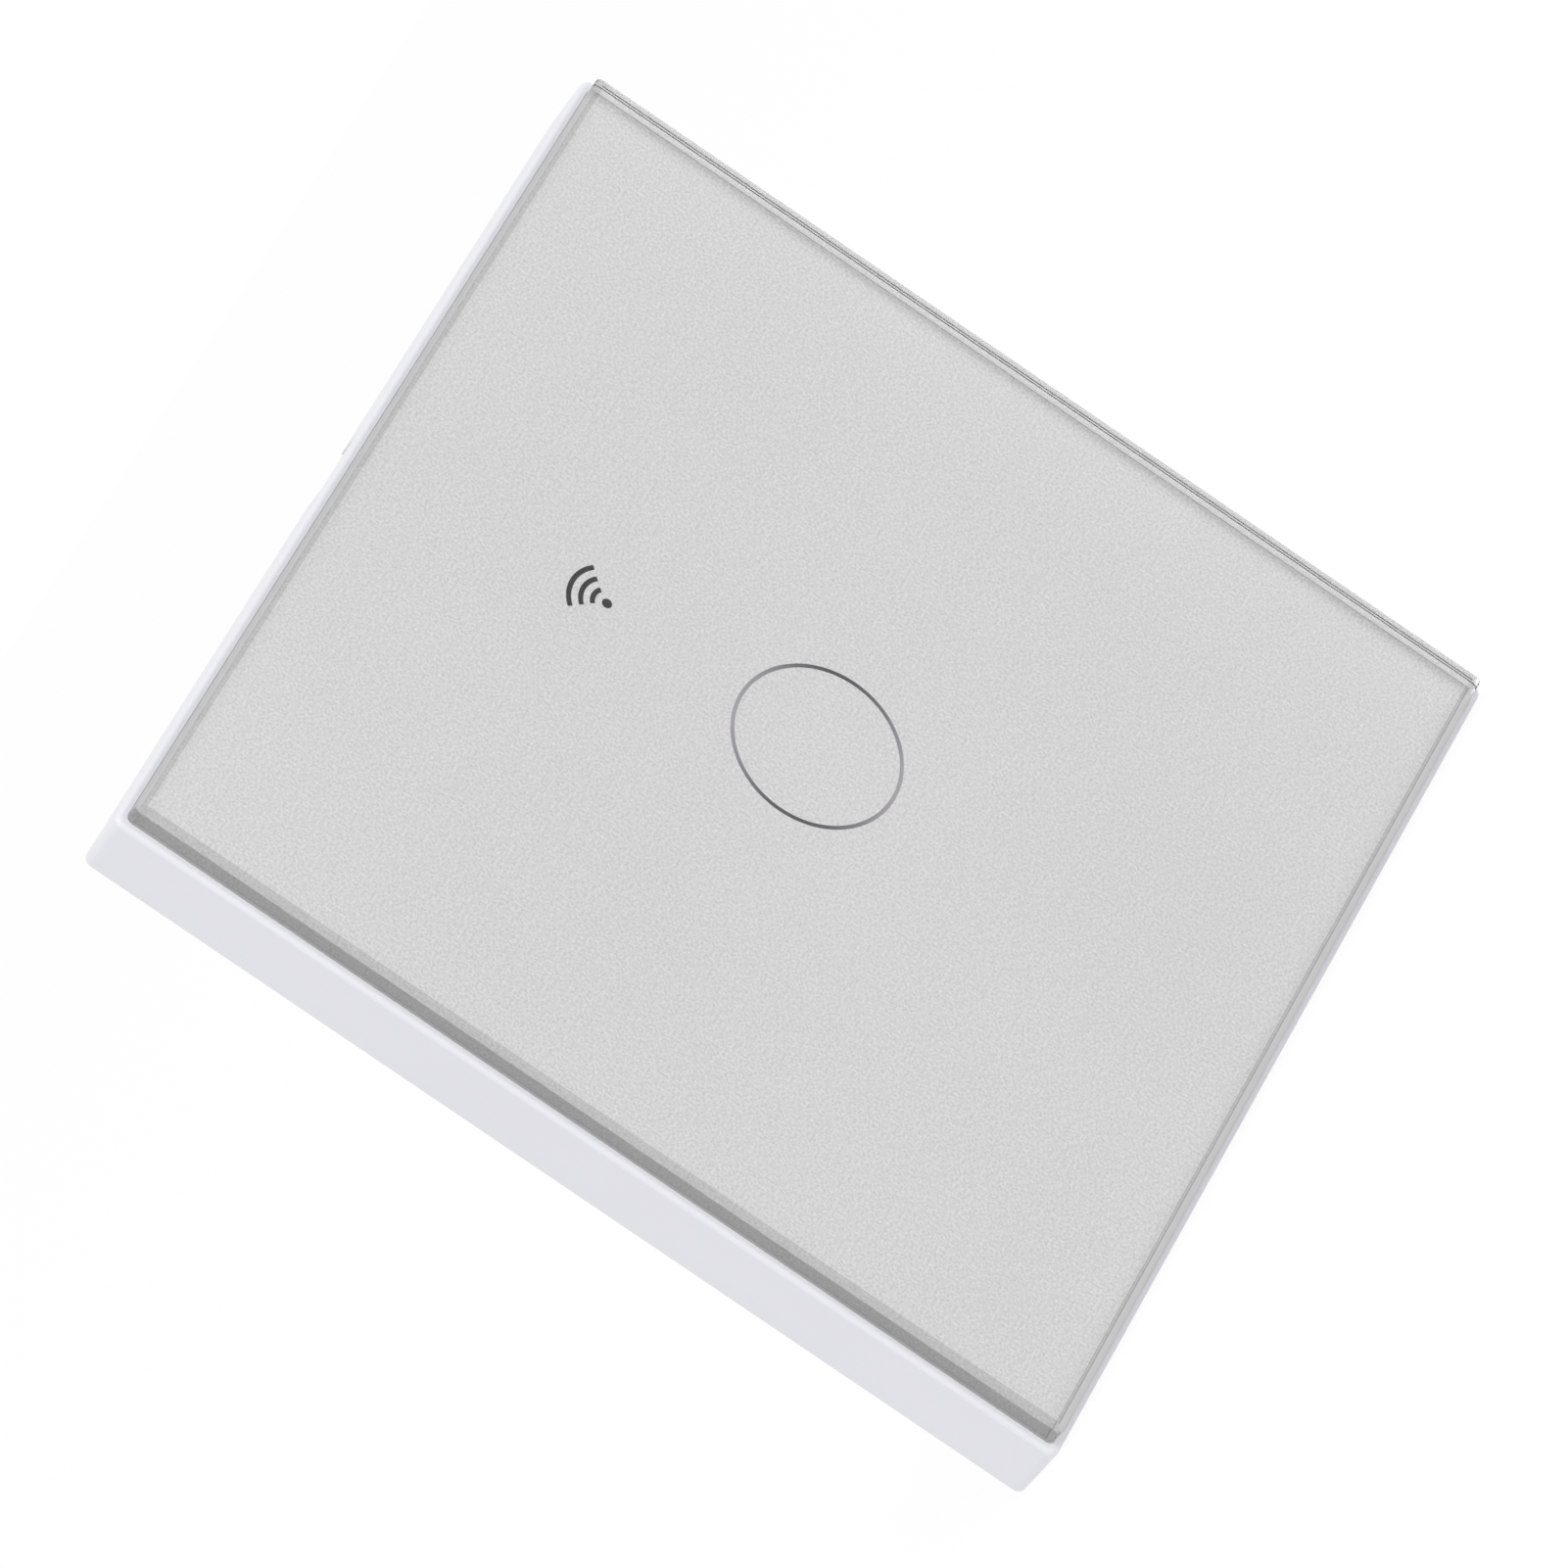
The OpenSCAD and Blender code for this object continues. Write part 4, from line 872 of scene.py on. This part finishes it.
# drum choke
drum = dict(radius=3.2, lip=1.2, waist=2.2, endCut=0.2, lipCut=0.15, steps=48, wire=0.5, pitch=1.04, sides=8)
low, high, centre = room("choke")
length = (high.y - low.y) / mm
flange = ((drum["radius"] - drum["endCut"], 0.0), (drum["radius"], drum["endCut"]),
          (drum["radius"], drum["lip"] - drum["lipCut"]), (drum["radius"] - drum["lipCut"], drum["lip"]),
          (drum["waist"], drum["lip"]))
core = turned((centre.x, low.y, centre.z), flange + fromEnd(flange[::-1], length), drum["steps"])
paintIt(core, paints["ferrite"])
span = length - 2 * drum["lip"] - drum["wire"]
turns = math.floor(span / (drum["wire"] * drum["pitch"]))
start = low.y + (drum["lip"] + drum["wire"] / 2) * mm
path = helix(centre, (drum["waist"] + drum["wire"] / 2) * mm, start, start + span * mm, turns)
coil = paintIt(wire(path, drum["wire"] * mm, drum["sides"]), paints["copper"])
joined(core, coil)
finished("wound_choke", "base", None, ("choke",))

# bulk capacitor: sleeved can, crimped foot, scored end; rim and lid are measured back from the top
sleeved = dict(foot=((3.5, 0.0), (3.85, 0.12), (4.0, 0.4), (4.0, 1.1), (3.72, 1.45), (3.66, 1.6),
                     (3.72, 1.75), (4.0, 2.1)),
               rim=((4.0, 0.5), (3.9, 0.2), (3.6, 0.0), (3.3, 0.0), (3.25, 0.1)),
               lid=((3.3, 0.6), (3.3, 0.1), (3.1, 0.06)), score=(0.2, 4.4, 0.12), steps=56)
low, high, centre = room("bulk_capacitor")
tall = (high.y - low.y) / mm
foot = Vector((centre.x, low.y, centre.z))
can = turned(foot, sleeved["foot"] + fromEnd(sleeved["rim"], tall), sleeved["steps"])
paintIt(can, sleevePaint(centre))
lid = turned(foot, fromEnd(sleeved["lid"], tall), sleeved["steps"])
place = foot + Vector((0, tall - sleeved["lid"][-1][1], 0)) * mm
lid = paintIt(carve(lid, *crossCutters(place, *sleeved["score"])), paints["can"])
smoothed()
joined(can, lid)
finished("sleeved_capacitor", "base", None, ("bulk_capacitor",))

# varistor: a dipped disc, the same on both sides of its middle
disc = dict(half=((1.6, 1.8), (2.5, 1.72), (3.1, 1.45), (3.4, 0.95), (3.5, 0.3)), steps=48)
centre = room("varistor")[2]
turned(centre, fromEnd(disc["half"], 0.0) + disc["half"][::-1], disc["steps"], "Z")
finished("dipped_disc", "base", paints["discBlue"], ("varistor",))

# fuse: rounded caps, and the wire through its tube
fuse = dict(cap=((1.5, 0.0), (1.74, 0.08), (1.8, 0.25), (1.8, 2.2), (1.74, 2.4), (1.5, 2.4)), steps=36,
            wire=0.16 * mm, wireIn=2.3, sag=0.15, bends=12, sides=6)
low, high, centre = room("fuse_caps")
length = (high.z - low.z) / mm
foot = Vector((centre.x, centre.y, low.z))
joined(turned(foot, fuse["cap"], fuse["steps"], "Z"),
       turned(foot, fromEnd(fuse["cap"][::-1], length), fuse["steps"], "Z"))
finished("fuse_cap_pair", "base", paints["tin"], ("fuse_caps",))
points = []
for k in range(fuse["bends"] + 1):
    u = k / fuse["bends"]
    sag = math.sin(math.pi * u) * fuse["sag"]
    points.append(foot + Vector((0, sag, fuse["wireIn"] + (length - 2 * fuse["wireIn"]) * u)) * mm)
wire(points, fuse["wire"], fuse["sides"])
finished("fuse_wire", "base", paints["zinc"])

# terminal screws: slotted head, threaded shank, measured down from the top of the head
clampScrew = dict(head=((2.0, 0.0), (2.17, 0.12), (2.2, 0.3), (2.2, 1.83), (2.1, 1.95)), root=1.28,
                  tip=0.95, tipLong=0.35, steps=48, slot=0.8, slotDeep=0.9, slotLong=6, slotOver=1,
                  pitch=0.5, ridge=0.36 * mm, ridgeOut=0.03, ridgeIn=0.2, ridgeEnd=0.4, runOut=0.7, sides=4)
for i in (1, 2, 3):
    low, high, centre = room(f"terminal_screw_{i}")
    tall = (high.y - low.y) / mm
    headEnd = clampScrew["head"][-1][1]
    root = clampScrew["root"]
    shank = ((root, headEnd), (root, tall - clampScrew["tipLong"]), (clampScrew["tip"], tall))
    place = Vector((centre.x, high.y, centre.z))
    body = turned(place, fromEnd(clampScrew["head"] + shank, 0.0), clampScrew["steps"])
    slotX, slotZ = clampScrew["slotLong"] / 2, clampScrew["slot"] / 2
    bar = slab(place + Vector((-slotX, -clampScrew["slotDeep"], -slotZ)) * mm,
               place + Vector((slotX, clampScrew["slotOver"], slotZ)) * mm)
    body = carve(body, bar)
    smoothed()
    turns = (tall - headEnd - clampScrew["runOut"]) / clampScrew["pitch"]
    ridgeTop = high.y - (headEnd + clampScrew["ridgeIn"]) * mm
    ridgeFoot = low.y + clampScrew["ridgeEnd"] * mm
    path = helix(centre, (root + clampScrew["ridgeOut"]) * mm, ridgeTop, ridgeFoot, turns)
    joined(body, wire(path, clampScrew["ridge"], clampScrew["sides"]))
    finished(f"clamp_screw_{i}", f"screw_{i}", paints["zinc"], (f"terminal_screw_{i}",))
print("power board and terminals")


# every other CAD node: its edges rounded and its finish put on

chipBody = dict(half=1.95 * mm, dotIn=0.7 * mm, dotDown=1.3 * mm)
low, _, centre = room("touch_chip")
pinOne = Vector((low.x + chipBody["dotIn"], low.y, centre.z - chipBody["dotDown"]))
touchChip = chipPaint(centre, chipBody["half"], pinOne)

# the wall round the glass is drawn in until it all but touches it
seatWall = dict(gap=0.05 * mm, left=0.005 * mm, deep=0.3 * mm, near=0.2 * mm, upright=0.3)
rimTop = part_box("front_frame")[0].y


def facesGlass(mesh, face):
    out = max(abs(face.center.x), abs(face.center.z))
    return (abs(face.normal.y) < seatWall["upright"] and face.center.y < rimTop + seatWall["deep"]
            and abs(out - glassHalf) < seatWall["near"])


def snugSeat():
    pick("FACE", facesGlass)
    drawn = (glassHalf + seatWall["left"]) / (glassHalf + seatWall["gap"])
    bpy.ops.transform.resize(value=(drawn, 1, drawn), center_override=(0, 0, 0))


# node: edge round in mm, body, slot, finish
edges = {
    "front_frame": (0.04, "panel", "frame_plastic", paints["frame"]),
    "rear_housing": (0.15, "base", "housing_plastic", paints["housing"]),
    "inner_cover": (0.12, "base", "cover_plastic", paints["cover"]),
    "touch_board": (0.05, "base", "board", paints["board"]),
    "power_board": (0.05, "base", "board", paints["board"]),
    "light_ring": (0.12, "base", "light_plastic", paints["guide"]),
    "mark_shroud": (0.1, "base", "black_plastic", paints["black"]),
    "radio_shield": (0.12, "base", "shield_tin", paints["tin"]),
    "touch_chip": (0.06, "base", "chip_black", touchChip),
    "header_strip": (0.15, "base", "black_plastic", paints["black"]),
    "header_socket": (0.12, "base", "black_plastic", paints["black"]),
    "header_pins": (0.12, "base", "gold_pin", paints["gold"]),
    "relay_base": (0.2, "base", "black_plastic", paints["black"]),
    "relay_case": (0.3, "base", "relay_blue", paints["relayBlue"]),
    "relay_bobbin": (0.1, "base", "bobbin_plastic", paints["bobbin"]),
    "relay_core": (0.1, "base", "soft_iron", paints["iron"]),
    "relay_yoke": (0.1, "base", "soft_iron", paints["iron"]),
    "relay_contact": (0.08, "base", "contact_alloy", paints["contact"]),
    "relay_armature": (0.1, "armature", "soft_iron", paints["iron"]),
    "relay_leaf": (0.05, "armature", "contact_alloy", paints["contact"]),
    "transformer_core": (0.15, "base", "ferrite", paints["ferrite"]),
    "film_capacitor": (0.35, "base", "box_yellow", paints["boxYellow"]),
    "rectifier": (0.2, "base", "chip_black", paints["black"]),
    "terminal_block": (0.12, "base", "terminal_plastic", paints["terminal"]),
    "terminal_tabs": (0.1, "base", "contact_alloy", paints["contact"]),
    "clamp_cage_1": (0.12, "cage_1", "cage_steel", paints["cage"]),
    "clamp_cage_2": (0.12, "cage_2", "cage_steel", paints["cage"]),
    "clamp_cage_3": (0.12, "cage_3", "cage_steel", paints["cage"]),
}
for node, (width, body, slot, coat) in edges.items():
    refined(node, width, body, coat, snugSeat if node == "front_frame" else None)

paintIt(nodes["glass_panel"], clearGlass(glassHalf, glassLow.y))
paintIt(nodes["panel_tape"], paints["tape"])
paintIt(nodes["fuse_tube"], paints["fuseGlass"])
print("nodes finished")


# floor, light and camera

studio = dict(white=(1, 1, 1, 1), ambient=0.66)
clearRays = ("Is Camera Ray", "Is Glossy Ray", "Is Transmission Ray")
scene = bpy.context.scene
world = bpy.data.worlds.new("studio")
scene.world = world
world.use_nodes = True
sky = Paint("studio", world.node_tree)
background = world.node_tree.nodes["Background"]
background.inputs["Color"].default_value = studio["white"]
seen = sky.lightRays(*clearRays)
sky.plug(background.inputs["Strength"], seen * (1.0 - studio["ambient"]) + studio["ambient"])

# the floor shines a little, like a light table, and white for the camera
table = dict(drop=0.2 * mm, size=6.0, base=(0.86, 0.86, 0.86, 1.0), rough=0.9,
             glow=1.04, shade=0.12, share=0.4)
deselect()
bpy.ops.mesh.primitive_plane_add(size=table["size"], location=(0, 0, cadBox[0].z - table["drop"]))
floor = bpy.context.object
floor.name = "floor"
ground = Paint("floorWhite")
ground.set(Base_Color=table["base"], Roughness=table["rough"])
pale = ground.lightRays(*clearRays) * (1.0 - table["shade"] - table["share"]) + table["share"]
glow = ground.node("ShaderNodeEmission", None, {"Color": studio["white"], "Strength": table["glow"]})
both = ground.node("ShaderNodeMixShader", None, [pale, Val(ground, ground.shader.outputs[0]), glow])
ground.plug(ground.tree.nodes["Material Output"].inputs["Surface"], both)
paintIt(floor, ground.material)

keyLamp = dict(place=Vector((-0.5, -1.1, 1.2)), size=1.2, power=12.0)
data = bpy.data.lights.new("key", "AREA")
data.size = keyLamp["size"]
data.energy = keyLamp["power"]
light = bpy.data.objects.new("key", data)
scene.collection.objects.link(light)
light.location = keyLamp["place"]
light.rotation_euler = (-keyLamp["place"]).to_track_quat("-Z", "Y").to_euler()

# the camera of the photograph: place in metres, the directions of its right and its top, lens in mm
shot = dict(place=(-0.68603, -0.88230, 0.08561), right=Vector((0.40461, -0.39473, -0.82491)),
            up=Vector((0.67908, -0.47446, 0.56012)), lens=332.2, farEnd=20)
data = bpy.data.cameras.new("camera")
data.lens = shot["lens"]
data.clip_end = shot["farEnd"]
camera = bpy.data.objects.new("camera", data)
scene.collection.objects.link(camera)
turn = Matrix((shot["right"], shot["up"], shot["right"].cross(shot["up"]))).transposed()
camera.matrix_world = Matrix.Translation(shot["place"]) @ turn.to_4x4()
scene.camera = camera
scene.view_settings.view_transform = "Standard"

print("stage set")
